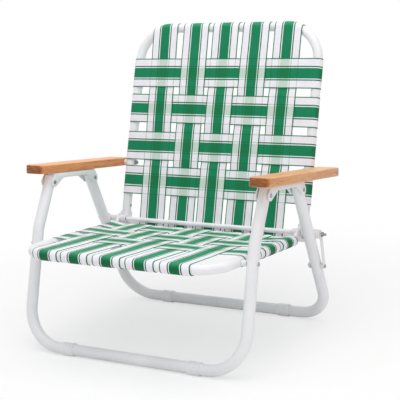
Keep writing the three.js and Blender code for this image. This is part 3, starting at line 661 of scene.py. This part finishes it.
def tongue(side):
    """Flattened end of a seat tube, drawn out in steps to a round eye on the axle."""
    eye = AXLE_ON_SEAT
    y, rise, half, wide = SEAT_END + TONGUE_START, 0.0, FRAME_TUBE / 2, 1.0
    tube_ring(FRAME_TUBE, (side * FRAME_X, y, 0), (math.pi / 2, 0, 0), "NGON")
    steps = [(SEAT_END + behind, *rest) for behind, *rest in TONGUE_STEPS]
    steps += [
        (eye.y + TONGUE_EYE * math.sin(turn), 1.0, TONGUE_EYE * math.cos(turn), TONGUE_FLAT)
        for turn in TONGUE_EYE_TURNS
    ]
    for next_y, next_rise, next_half, next_wide in steps:
        step = next_rise - rise
        pull((side * step * (TONGUE_X - FRAME_X), next_y - y, step * eye.z))
        centre = (side * (FRAME_X + next_rise * (TONGUE_X - FRAME_X)), next_y, next_rise * eye.z)
        bpy.ops.transform.resize(value=(next_wide / wide, 1, next_half / half), center_override=centre)
        y, rise, half, wide = next_y, next_rise, next_half, next_wide
    return stop_shaping()


def hoop(left, right, end, bend, radius):
    """Tube of the seat or the back: from its open end at (y, z) to the bend, across and back."""
    places = (right, end), (right, bend), (left, bend), (left, end)
    return tube_through(FRAME_TUBE, [Vector((x, *place)) for x, place in places], [radius, radius])


def make_seat_frame():
    tube = hoop(-FRAME_X, FRAME_X, (SEAT_TUBE_END, 0), (SEAT_FRONT, 0), SEAT_CORNER)
    whole = weld([tube] + [tongue(side) for _, side in SIDES])
    settle(whole, "seat_tube", ON_SEAT, COAT, "seat_frame")
    reach = FRAME_X - FRAME_TUBE / 2 - GAP
    place = ON_SEAT @ moved(SEAT_REAR_BAR)
    settle(thin_bar(-reach, reach), "seat_rear_cross_tube", place, COAT, "seat_rear_bar")


def make_back_frame():
    left, right = BACK_SIDE_X[-1], BACK_SIDE_X[1]
    tube = hoop(left, right, (BACK_OFFSET, BACK_END), (BACK_OFFSET, BACK_TOP), BACK_CORNER)
    settle(tube, "back_tube", ON_BACK, COAT, "back_frame")
    bar = thin_bar(left + FRAME_TUBE / 2, right - FRAME_TUBE / 2)
    place = ON_BACK @ moved(BACK_LOWER_BAR)
    settle(bar, "back_lower_cross_tube", place, COAT, "back_lower_bar")
    for name, side in SIDES:
        settle(hinge_end(side), f"hinge_plug_{name}", ON_BACK, PLASTIC, f"back_hinge_end_{name}")
        pin = small_rivet(-FRAME_TUBE / 2, FRAME_TUBE / 2)
        place = ON_BACK @ moved(HINGE_RIVET + Vector((BACK_SIDE_X[side], 0, 0)))
        settle(handed(pin, side), f"hinge_pin_{name}", place, STEEL, f"hinge_end_rivet_{name}")


# Turned and flat pieces
def turned(profile, closed=False, steps=TUBE_SIDES):
    """Profile of (place along X, radius) spun a full turn round the X axis."""
    ring_of_points([(x, 0, radius) for x, radius in profile])
    start_shaping()
    if not closed:
        mesh = bmesh.from_edit_mesh(bpy.context.object.data)
        mesh.verts.ensure_lookup_table()
        first, last = mesh.verts[0], mesh.verts[len(profile) - 1]
        for edge in [e for e in mesh.edges if first in e.verts and last in e.verts]:
            mesh.edges.remove(edge)
        bmesh.update_edit_mesh(bpy.context.object.data)
    bpy.ops.mesh.spin(steps=steps, angle=2 * math.pi, center=(0, 0, 0), axis=(1, 0, 0))
    return stop_shaping()


def sleeve(x0, x1, bore, outer, edge=SLEEVE_EDGE):
    """Round sleeve along X with slightly broken edges."""
    return turned([
        (x0, bore), (x0, outer - edge), (x0 + edge, outer),
        (x1 - edge, outer), (x1, outer - edge), (x1, bore),
    ], closed=True)


def thin_bar(x0, x1):
    return sleeve(x0, x1, THIN_BAR / 2 - THIN_BAR_WALL, THIN_BAR / 2)


def spacer(x0, x1):
    return sleeve(x0, x1, PIN / 2 + GAP, SPACER / 2)


def dome(face, outward):
    """Profile of a domed head that stands on a face."""
    rise = HEAD_HEIGHT - HEAD_RIM
    crown = [
        (face + outward * (HEAD_RIM + rise * math.sin(turn)), HEAD / 2 * math.cos(turn))
        for turn in HEAD_TURNS
    ]
    rim = [(face, HEAD / 2), (face + outward * HEAD_RIM, HEAD / 2)]
    return [*rim, *crown, (face + outward * HEAD_HEIGHT, 0)]


def rivet(x0, x1):
    """Pin between two faces, with a domed head on each."""
    return turned([*reversed(dome(x0, -1)), (x0, PIN / 2), (x1, PIN / 2), *dome(x1, 1)])


def small_rivet(x0, x1):
    """Thin rivet with a low head inside and a flat one outside."""
    inside = [(x0 - reach, radius) for reach, radius in LOW_HEAD]
    outside = [(x1 + reach, radius) for reach, radius in FLAT_HEAD]
    return turned(inside + outside)


def hex_nut(x0):
    cylinder(6, NUT / 2 / math.cos(math.pi / 6), NUT_HEIGHT, (x0 + NUT_HEIGHT / 2, 0, 0))
    bpy.ops.object.transform_apply()
    start_shaping()
    ease(CHAMFER, 2)
    return stop_shaping()


def bolt(nut_face, head_face):
    """Bolt with a domed head beyond head_face and a nut below nut_face."""
    end = nut_face - NUT_HEIGHT - THREAD_END
    shank = turned([
        (end, 0), (end, PIN / 2 - CHAMFER), (end + CHAMFER, PIN / 2), (head_face, PIN / 2),
        *dome(head_face, 1),
    ])
    return weld([shank, hex_nut(nut_face - NUT_HEIGHT)])


def plate(outline, x0, x1, edge):
    """Flat piece cut to an outline of (y, z) points, thick from x0 to x1, with broken edges."""
    ring_of_points([(x0, y, z) for y, z in outline])
    start_shaping()
    bpy.ops.mesh.edge_face_add()
    pull((x1 - x0, 0, 0))
    face_outward()
    ease_sharp_edges(edge, 2)
    return stop_shaping()


def arc(centre, radius, start, end, steps):
    """Points of an arc in side view, in degrees."""
    angles = [math.radians(start + (end - start) * i / steps) for i in range(steps + 1)]
    return [(centre[0] + radius * math.cos(a), centre[1] + radius * math.sin(a)) for a in angles]


def bore(piece, radius, x0, x1):
    """Round hole along the X axis."""
    return carve(piece, cylinder(TUBE_SIDES, radius, abs(x1 - x0), ((x0 + x1) / 2, 0, 0)))


def hinge_end(side):
    """Plug under the back tube: an eye on the axle, a notch for the seat's tongue, a boss inside."""
    rear = BACK_OFFSET + FRAME_TUBE / 2 - HINGE_PLAY
    front = BACK_OFFSET - FRAME_TUBE / 2
    top = BACK_END - GAP
    outline = [(rear, top), (front, top)]
    outline += arc((0, 0), HINGE_EYE, math.degrees(math.acos(front / HINGE_EYE)), 270, 20)
    outline += [(BACK_OFFSET, HINGE_TIP), (rear, HINGE_HEEL)]
    half = side * (FRAME_TUBE / 2 - GAP)
    inner = BACK_SIDE_X[side] - half
    block = plate(outline, inner, BACK_SIDE_X[side] + half, MOULDED_EDGE)
    bore(block, TONGUE_EYE + TONGUE_PLAY, side * (TONGUE_X - TONGUE_THICK / 2 - GAP), side * LEG_X)
    bore(block, AXLE_BORE, side * (HINGE_INNER - HINGE_EYE), side * LEG_X)
    start, end = sorted((side * BOSS_FACE, inner))
    return weld([block, sleeve(start, end, AXLE_BORE, BOSS / 2, MOULDED_EDGE)])


def make_feet():
    inner = LEG_X - FOOT_INSET
    for bar_name, bar in (("front", FRONT_BAR), ("rear", REAR_BAR)):
        for name, side in SIDES:
            sleeve(inner, inner + FOOT_LENGTH, LEG_BORE, LEG_BORE + FOOT_WALL, MOULDED_EDGE)
            start_shaping()
            bpy.ops.mesh.bisect(
                plane_co=(0, 0, -GROUND_BAR_HEIGHT), plane_no=-UP, clear_outer=True, use_fill=True)
            foot = handed(stop_shaping(), side)
            settle(foot, f"foot_sleeve_{bar_name}_{name}", moved(bar), PLASTIC,
                   f"foot_{bar_name}_{name}")


def make_seat_pivots():
    place = moved(SEAT_PIVOT)
    for name, side in SIDES:
        ring = handed(spacer(FRAME_X + FRAME_TUBE / 2 + GAP, LEG_INNER), side)
        settle(ring, f"seat_spacer_{name}", place, PLASTIC, f"seat_pivot_spacer_{name}")
        pin = handed(bolt(FRAME_X - FRAME_TUBE / 2 - GAP, LEG_OUTER), side)
        settle(pin, f"seat_bolt_{name}", place, STEEL, f"seat_pivot_bolt_{name}")


def make_axle():
    place = moved(AXLE)
    half = AXLE_CORE / 2
    core = turned([(-AXLE_END, 0), (-AXLE_END, half), (AXLE_END, half), (AXLE_END, 0)])
    settle(core, "axle_core", place, STEEL, "axle_rod")
    tube = sleeve(-AXLE_TUBE_REACH, AXLE_TUBE_REACH, AXLE_BORE, AXLE_TUBE / 2)
    settle(tube, "axle_cover_tube", place, COAT, "axle_tube")
    for name, side in SIDES:
        settle(handed(saddle_bush(), side), f"axle_collar_{name}", place, PLASTIC, f"axle_bush_{name}")


def saddle_bush():
    """Bush with a slim neck and a wide end, hollowed where the rear leg lies against it."""
    start = TONGUE_X + TONGUE_THICK / 2 + GAP
    step = LEG_X + SADDLE_SETBACK
    rim = COLLAR / 2
    bush = turned([
        (start, AXLE_BORE), (start, NECK / 2), (step, NECK / 2),
        (step, rim - CHAMFER), (step + CHAMFER, rim),
        (AXLE_END - CHAMFER, rim), (AXLE_END, rim - CHAMFER), (AXLE_END, AXLE_BORE),
    ], closed=True)
    leg = REAR_BAR - ARM_REAR
    place = Vector((LEG_X, 0, 0)) + ARM_REAR - AXLE
    lie = UP.rotation_difference(leg).to_euler()
    return carve(bush, cylinder(2 * TUBE_SIDES, LEG_BORE, 4 * leg.length, place, lie))


# Arms, brackets and links
def plank(side):
    """Arm board: a block whose front corners are rounded wide and whose edges are all eased."""
    clear_bench()
    length = ARM_REAR_END - ARM_FRONT_END
    bpy.ops.mesh.primitive_cube_add(
        size=1, location=(side * ARM_X, ARM_FRONT_END + length / 2, ARM_RISE + ARM_THICK / 2),
        scale=(ARM_WIDTH, length, ARM_THICK))
    bpy.ops.object.transform_apply()

    def is_upright(edge):
        return abs(edge.verts[0].co.z - edge.verts[1].co.z) > ARM_THICK / 2

    start_shaping()
    ends = (ARM_FRONT_END, ARM_FRONT_ROUND, 8), (ARM_REAR_END, ARM_REAR_ROUND, 3)
    for end, radius, segments in ends:
        pick_edges(lambda edge: is_upright(edge) and abs(edge.verts[0].co.y - end) < MM)
        ease(radius, segments)
    ease_sharp_edges(ARM_EDGE, 5)
    board = stop_shaping()
    # UV map grain: share of end grain, and share of the top for the wood's painted highlight
    grain = board.data.uv_layers.new(name="grain")
    for loop in board.data.loops:
        facing = board.data.vertices[loop.vertex_index].normal
        grain.data[loop.index].uv = (
            eased((abs(facing.y) - GRAIN_FROM) / END_GRAIN_RANGE), eased((facing.z - GRAIN_FROM) / TOP_HIGHLIGHT_RANGE))
    return board


def bracket():
    """Folded sheet: one flange is cut and copied to the other side, and the top is bridged between
    them."""
    outline = [(MM, BRACKET_TOP), *arc((0, 0), EAR, 165, 310, 14), *BRACKET_ARCH]
    outline += [(PIVOT_SPACING - y, z) for y, z in reversed(BRACKET_ARCH)]
    outline += [*arc((PIVOT_SPACING, 0), EAR, 230, 375, 14), (PIVOT_SPACING - MM, BRACKET_TOP)]

    def at_top(edge):
        return all(abs(corner.co.z - BRACKET_TOP) < GAP / 2 for corner in edge.verts)

    ring_of_points([(BRACKET_HALF, y, z) for y, z in outline])
    start_shaping()
    bpy.ops.mesh.edge_face_add()
    bpy.ops.mesh.duplicate_move(TRANSFORM_OT_translate={"value": (-2 * BRACKET_HALF, 0, 0)})
    pick_edges(at_top)
    bpy.ops.mesh.bridge_edge_loops()
    face_outward()
    pick_edges(lambda edge: at_top(edge) and len(edge.link_faces) == 2)
    ease(BRACKET_FOLD, 4)
    bpy.ops.object.mode_set(mode="OBJECT")
    piece = bpy.context.object
    modify(piece, "SOLIDIFY", thickness=SHEET_METAL, offset=-1)
    modify(piece, "BEVEL", width=BRACKET_EDGE, segments=2, angle_limit=SHARP_OVER)
    return piece


def make_arms():
    for name, side in SIDES:
        back_x = abs(BACK_SIDE_X[side])
        settle(plank(side), f"arm_board_{name}", ON_ARM, WOOD, f"arm_{name}")
        centred = moved((side * LEG_X, 0, 0))
        settle(bracket(), f"bracket_{name}", ON_ARM @ centred, COAT, f"arm_bracket_{name}")
        spots = [(Vector((side * LEG_X, y, BRACKET_TOP - SHEET_METAL)), -UP) for y in BRACKET_SCREWS]
        flat_screws(f"bracket_screws_{name}", spots, ON_ARM, f"{name}_arm")
        for end, y in (("front", 0.0), ("rear", PIVOT_SPACING)):
            pin = rivet(-BRACKET_HALF - GAP, BRACKET_HALF + GAP)
            place = ON_ARM @ moved((side * LEG_X, y, 0))
            settle(pin, f"bracket_pin_{end}_{name}", place, STEEL, f"arm_rivet_{end}_{name}")
        place = moved(ARM_BACK)
        ring = handed(spacer(back_x + FRAME_TUBE / 2 + GAP, ARM_X - ARM_WIDTH / 2 - GAP), side)
        settle(ring, f"arm_spacer_{name}", place, PLASTIC, f"arm_back_spacer_{name}")
        pin = handed(bolt(back_x - FRAME_TUBE / 2 - GAP, ARM_X + ARM_WIDTH / 2 + GAP), side)
        settle(pin, f"arm_bolt_{name}", place, STEEL, f"arm_back_bolt_{name}")


def make_links():
    inner = AXLE_END + GAP
    outer = inner + LINK_THICK
    face = outer + GAP
    tip = face + NUT_HEIGHT + STUD_END
    toward = math.degrees(math.atan2(AXLE.z - LINK_PIVOT.z, AXLE.y - LINK_PIVOT.y))
    outline = arc(AXLE.yz, LINK_WIDTH / 2, toward - 90, toward + 90, 16)
    outline += arc(LINK_PIVOT.yz, LINK_WIDTH / 2, toward + 90, toward + 270, 16)
    for name, side in SIDES:
        bar = plate(outline, side * inner, side * outer, CHAMFER)
        settle(bar, f"lock_bar_{name}", ON_CHAIR, COAT, f"link_{name}")
        shank = turned([
            (inner, 0), (inner, PIN / 2), (tip - CHAMFER, PIN / 2), (tip, PIN / 2 - CHAMFER), (tip, 0)])
        stud = handed(weld([shank, hex_nut(face)]), side)
        settle(stud, f"lock_nut_{name}", moved(AXLE), STEEL, f"link_nut_{name}")
        place = moved(LINK_PIVOT)
        pin = handed(rivet(LEG_INNER - COLLAR_LENGTH - GAP, face), side)
        settle(pin, f"lock_pin_{name}", place, STEEL, f"link_rivet_{name}")
        rings = weld([spacer(x, x + COLLAR_LENGTH) for x in (LEG_INNER - COLLAR_LENGTH, LEG_OUTER)])
        holder = body_of(f"link_rivet_{name}")
        settle(handed(rings, side), f"lock_spacers_{name}", place, PLASTIC, body=holder)


# Webbing: every strap runs from a first bar to a last bar, over and under the straps that it crosses
def eased(share):
    share = min(max(share, 0.0), 1.0)
    return share * share * (3 - 2 * share)


def between(start, end, share):
    return start + (end - start) * share


def across_chair(left, right, x):
    """Value at a place between the two sides of the chair."""
    return between(left, right, (x + FRAME_X) / (2 * FRAME_X))


def over(number):
    """Over at every even crossing, under at every odd one."""
    return -1 if number % 2 else 1


def lap_at(along, crossings):
    """Height share of a strap, from -1 under to 1 over, at a place along it."""
    half = STRAP_WIDTH / 2 + MM
    first, last = crossings[0], crossings[-1]
    if along <= first[0] - half:
        return first[1] * eased((along - (first[0] - half - LAP_RAMP)) / LAP_RAMP)
    if along >= last[0] + half:
        return last[1] * eased(((last[0] + half + LAP_RAMP) - along) / LAP_RAMP)
    for (place, level), (next_place, next_level) in zip(crossings, crossings[1:]):
        if along <= place + half:
            return level
        if along < next_place - half:
            share = (along - place - half) / (next_place - place - 2 * half)
            return between(level, next_level, eased(share))
    return last[1]


def corner_shift(off_centre, straight, radius):
    """How far a bent bar draws back at a place beyond its straight part, and how much longer its section
    gets."""
    beyond = max(abs(off_centre) - straight, 0.0)
    rest = math.sqrt(radius * radius - beyond * beyond)
    return radius - rest, radius / rest


class StrapRun(namedtuple("StrapRun", "first_bar last_bar level_at crossings place")):
    """Line of one strap in (along, height), the bars that it hooks round and the straps that it
    crosses. A bar gives its place along, its height, the hook's radius and how much longer its section
    is."""

    def hook(self, bar, offset, way):
        along, height, radius, longer = bar(offset)
        turns = [HOOK_TURN * i / HOOK_STATIONS for i in range(HOOK_STATIONS + 1)]
        reach = way * longer * radius
        return [(along + reach * math.sin(a), height + radius * math.cos(a)) for a in turns]

    def column(self, offset):
        """Points of the strap's middle layer along one line of its length."""
        first, last = self.first_bar(offset)[0], self.last_bar(offset)[0]
        count = round(abs(self.last_bar(0.0)[0] - self.first_bar(0.0)[0]) / STRAP_STATION)
        woven = []
        for i in range(1, count):
            along = first + (last - first) * i / count
            level = self.level_at(offset, along)
            woven.append((along, level + STRAP_LAP * lap_at(along, self.crossings)))
        start = self.hook(self.first_bar, offset, -1)
        return [*reversed(start), *woven, *self.hook(self.last_bar, offset, 1)]

    def screws(self):
        """Points low on the inner side of both hooks where screws hold the strap, with the way that they
        face."""
        found = []
        for bar, inward in ((self.first_bar, 1), (self.last_bar, -1)):
            for offset in (-SCREW_SPREAD, SCREW_SPREAD):
                along, height, radius, _ = bar(offset)
                reach = radius + STRAP_THICK / 2
                centre = Vector(self.place(offset, along, height))
                spot = Vector(self.place(
                    offset, along + inward * reach * math.sin(SCREW_ROUND),
                    height - reach * math.cos(SCREW_ROUND)))
                found.append((spot, (spot - centre).normalized()))
        return found


def lay_strap(name, run, place, node, bars):
    offsets = [STRAP_WIDTH * (i / STRAP_COLUMNS - 0.5) for i in range(STRAP_COLUMNS + 1)]
    columns = [run.column(offset) for offset in offsets]
    centre = columns[STRAP_COLUMNS // 2]
    lengths = [0.0]
    for (along, height), (next_along, next_height) in zip(centre, centre[1:]):
        lengths.append(lengths[-1] + math.hypot(next_along - along, next_height - height))
    mesh = bmesh.new()
    strap_map = mesh.loops.layers.uv.new("strap")
    under_map = mesh.loops.layers.uv.new("under")
    corners = [
        [mesh.verts.new(run.place(offset, *point)) for point in column]
        for offset, column in zip(offsets, columns)
    ]
    woven = range(HOOK_STATIONS, len(centre) - HOOK_STATIONS - 1)
    for i in range(STRAP_COLUMNS):
        for k in range(len(centre) - 1):
            spots = ((i, k), (i + 1, k), (i + 1, k + 1), (i, k + 1))
            face = mesh.faces.new([corners[column][station] for column, station in spots])
            here = (columns[i][k][0] + columns[i + 1][k + 1][0]) / 2
            crossed, level = min(run.crossings, key=lambda c: abs(c[0] - here))
            covers = 1.0 if k in woven and level > 0 else 0.0
            for loop, (column, station) in zip(face.loops, spots):
                across_below = (columns[column][station][0] - crossed) / STRAP_WIDTH + 0.5
                loop[strap_map].uv = (column / STRAP_COLUMNS, lengths[station] / STRAP_WIDTH)
                loop[under_map].uv = (across_below, covers)
    bmesh.ops.recalc_face_normals(mesh, faces=mesh.faces)
    # Share of painted light and shade on each corner, from how far it faces up
    mark_painted_light(mesh, corners[STRAP_COLUMNS // 2], run, place)
    data = bpy.data.meshes.new(name)
    mesh.to_mesh(data)
    mesh.free()
    strap = bring_in(name, data)
    modify(strap, "SOLIDIFY", thickness=STRAP_THICK, offset=0)
    settle(strap, name, place, WEBBING, node)
    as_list(bars)


def mark_painted_light(mesh, line, run, place):
    """Share of painted light on each corner of a strap, from how far it faces up: much on the flat of the
    seat, about a half on the flat of the back, and little where a strap turns round its tube, which gets
    painted shade."""
    painted_light_map = mesh.loops.layers.uv.new("sun")
    mesh.normal_update()
    outward = Vector(run.place(0, 0, 1)) - Vector(run.place(0, 0, 0))
    sign = 1 if line[len(line) // 2].normal.dot(outward) > 0 else -1
    turn = place.to_3x3()
    half_lit = PAINTED_LIGHT_LEAST + PAINTED_LIGHT_SLOPE * (turn @ outward).z
    for face in mesh.faces:
        for loop in face.loops:
            rise = (turn @ loop.vert.normal).z * sign
            loop[painted_light_map].uv = (min(max(0.5 + (rise - half_lit) * PAINTED_LIGHT_GAIN, 0.0), 1.0), 0.0)


def flat_screws(name, spots, place, body):
    """Low screws with washers at spots of (point, way that they face), all copied from one."""
    first = turned(WASHER_SCREW, steps=WASHER_SCREW_SIDES)
    copies = []
    for spot, outward in spots:
        turn = Vector((1, 0, 0)).rotation_difference(outward).to_matrix().to_4x4()
        copy = bring_in(name, first.data.copy())
        copy.data.transform(moved(spot) @ turn)
        copies.append(copy)
    bpy.data.objects.remove(first)
    settle(weld(copies), name, place, STEEL, body=body)


def lay_web(part, place, long_run, cross_run, rows, tube, bar):
    """All straps of the seat or the back, then the screws that hold them."""
    straps = [("long", i, long_run(i), [tube, bar]) for i in range(len(LONG_PLACES))]
    straps += [("cross", j, cross_run(j), [tube]) for j in range(rows)]
    screws = []
    for kind, i, run, bars in straps:
        lay_strap(f"{part}_strap_{kind}_{i + 1}", run, place, f"{part}_{kind}_strap_{i + 1}", bars)
        screws += run.screws()
    flat_screws(f"{part}_webbing_screws", screws, place, part)


def make_seat_webbing():
    rows = len(SEAT_CROSS_PLACES)
    straight = FRAME_X - SEAT_CORNER
    rear_level = SEAT_REAR_BAR.z + HOOK_ON_BAR

    def share_at(y):
        return (y - SEAT_FRONT) / (SEAT_REAR_BAR.y - SEAT_FRONT)

    def web_level(x, y):
        share = min(max(share_at(y), 0.0), 1.0)
        run_in = between(SIDE_RAMP, LAP_RAMP, eased(2 * share - 1))
        level = between(HOOK_ON_FRAME, rear_level, share)
        return between(HOOK_ON_FRAME, level, eased((FRAME_X - abs(x)) / run_in))

    def long_x(i, y):
        return LONG_PLACES[i] + between(SEAT_SHIFTS_FRONT[i], SEAT_SHIFTS_REAR[i], share_at(y))

    def row_y(j, x):
        return SEAT_CROSS_PLACES[j] + across_chair(SEAT_ROWS_LEFT[j], SEAT_ROWS_RIGHT[j], x)

    def long_run(i):
        def front_bar(offset):
            back, longer = corner_shift(long_x(i, SEAT_FRONT) + offset, straight, SEAT_CORNER)
            return SEAT_FRONT + back, 0.0, HOOK_ON_FRAME, longer

        def rear_bar(offset):
            return SEAT_REAR_BAR.y, SEAT_REAR_BAR.z, HOOK_ON_BAR, 1.0

        def level_at(offset, along):
            return web_level(long_x(i, along) + offset, along)

        def on_seat(offset, along, height):
            at_front = along < SEAT_FRONT + LAP_RAMP
            drift = SEAT_HOOK_DRIFT * eased(1 - height / HOOK_ON_FRAME) if at_front else 0.0
            return long_x(i, along) + drift + offset, along, height

        crossings = [(row_y(j, LONG_PLACES[i]), over(i + j)) for j in range(rows)]
        return StrapRun(front_bar, rear_bar, level_at, crossings, on_seat)

    def cross_run(j):
        def side_tube(side):
            return lambda offset: (side * FRAME_X, 0.0, HOOK_ON_FRAME, 1.0)

        def level_at(offset, along):
            return web_level(along, row_y(j, along) + offset)

        def on_seat(offset, along, height):
            return along, row_y(j, along) + offset, height

        crossings = [(long_x(i, SEAT_CROSS_PLACES[j]), -over(i + j)) for i in range(len(LONG_PLACES))]
        return StrapRun(side_tube(-1), side_tube(1), level_at, crossings, on_seat)

    lay_web("seat", ON_SEAT, long_run, cross_run, rows, "seat_tube", "seat_rear_cross_tube")


def make_back_webbing():
    rows = len(BACK_CROSS_PLACES)
    straight = BACK_SIDE_X[1] - BACK_MIDDLE_X - BACK_CORNER
    corner_height = BACK_TOP - BACK_CORNER

    def level_at(offset, along):
        return HOOK_ON_FRAME

    def long_x(i, z):
        share = (z - BACK_LOWER_BAR.z) / (BACK_TOP - BACK_LOWER_BAR.z)
        return LONG_PLACES[i] + between(BACK_SHIFTS_LOW[i], BACK_SHIFTS_TOP[i], share)

    def row_z(j, x):
        return BACK_CROSS_PLACES[j] + across_chair(BACK_ROWS_LEFT[j], BACK_ROWS_RIGHT[j], x)

    def long_run(i):
        def top_bar(offset):
            x = long_x(i, BACK_TOP) + offset - BACK_MIDDLE_X
            down, longer = corner_shift(x, straight, BACK_CORNER)
            return -BACK_TOP + down, 0.0, HOOK_ON_FRAME, longer

        def lower_bar(offset):
            return -BACK_LOWER_BAR.z, BACK_OFFSET - BACK_LOWER_BAR.y, HOOK_ON_BAR, 1.0

        def on_back(offset, along, height):
            return long_x(i, -along) + offset, BACK_OFFSET - height, -along

        crossings = [(-row_z(j, LONG_PLACES[i]), -over(i + j)) for j in range(rows)]
        return StrapRun(top_bar, lower_bar, level_at, crossings, on_back)

    def cross_run(j):
        def side_tube(side):
            def bar(offset):
                height = max(row_z(j, side * FRAME_X) + offset, 0)
                inward, longer = corner_shift(height, corner_height, BACK_CORNER)
                return BACK_SIDE_X[side] - side * inward, 0.0, HOOK_ON_FRAME, longer
            return bar

        def on_back(offset, along, height):
            return along, BACK_OFFSET - height, row_z(j, along) + offset

        crossings = [(long_x(i, BACK_CROSS_PLACES[j]), over(i + j)) for i in range(len(LONG_PLACES))]
        return StrapRun(side_tube(-1), side_tube(1), level_at, crossings, on_back)

    lay_web("back", ON_BACK, long_run, cross_run, rows, "back_tube", "back_lower_cross_tube")


# Floor, light and camera
def make_floor():
    """Pale floor that fades to white away from the chair."""
    clear_bench()
    bpy.ops.mesh.primitive_plane_add(size=FLOOR_SIZE)
    floor = bpy.context.object
    floor.name = "floor"
    ground = Finish("pale_floor", 0.9)
    ground.colour((*tone(250, 250, 250), 1))
    far = ground.node("VectorMath", {0: ground.place}, operation="LENGTH").outputs["Value"]
    fade = ground.node("MapRange", {**FLOOR_FADE, "Value": far}, interpolation_type="SMOOTHSTEP")
    seen = ground.node("LightPath").outputs["Is Camera Ray"]
    faded = ground.math("MULTIPLY", fade.outputs["Result"], seen)
    ground.blend(faded, ground.shader, ground.node("Emission", {"Color": WHITE}), "Material Output")
    floor.data.materials.append(ground.material)


def make_light():
    """Even white room, brighter where the camera or a gloss sees it, and two soft lamps."""
    world = bpy.data.worlds.new("studio")
    bpy.context.scene.world = world
    room = Nodes(world)
    ray = room.node("LightPath").outputs
    mirrored_too = room.math("MAXIMUM", ray["Is Glossy Ray"], ray["Is Transmission Ray"])
    seen = room.math("MAXIMUM", ray["Is Camera Ray"], mirrored_too)
    ambient, backdrop = room.tree.nodes["Background"], room.node("Background")
    for background, strength in ((ambient, AMBIENT), (backdrop, BACKDROP)):
        room.feed(background.inputs["Color"], WHITE)
        room.feed(background.inputs["Strength"], strength)
    room.blend(seen, ambient, backdrop, "World Output")
    for name, place, size, power in LAMPS:
        lamp = bpy.data.lights.new(name, "AREA")
        lamp.shape = "SQUARE"
        lamp.size = size
        lamp.energy = power
        holder = bring_in(name, lamp)
        holder.location = place
        holder.rotation_euler = (LAMP_AIM - Vector(place)).to_track_quat("-Z", "Y").to_euler()


def make_camera():
    """Camera where the picture was taken from: its place, heading, dip and roll."""
    sin_yaw, cos_yaw = math.sin(CAMERA_YAW), math.cos(CAMERA_YAW)
    flat = math.cos(CAMERA_DIP)
    forward = Vector((-sin_yaw * flat, cos_yaw * flat, math.sin(CAMERA_DIP)))
    level = Vector((cos_yaw, sin_yaw, 0))
    upright = level.cross(forward)
    right = math.cos(CAMERA_ROLL) * level + math.sin(CAMERA_ROLL) * upright
    up = math.cos(CAMERA_ROLL) * upright - math.sin(CAMERA_ROLL) * level
    lens = bpy.data.cameras.new("picture_camera")
    lens.sensor_fit = "HORIZONTAL"
    lens.sensor_width = CAMERA_SENSOR
    lens.lens = CAMERA_LENS
    camera = bring_in("picture_camera", lens)
    turn = Matrix((right, up, -forward)).transposed().to_4x4()
    camera.matrix_world = moved(CAMERA_PLACE) @ turn
    bpy.context.scene.camera = camera


make_legs()
make_feet()
make_seat_frame()
make_seat_pivots()
make_axle()
make_back_frame()
make_arms()
make_links()
make_seat_webbing()
make_back_webbing()
make_floor()
make_light()
make_camera()
bpy.context.scene.view_settings.view_transform = "Standard"
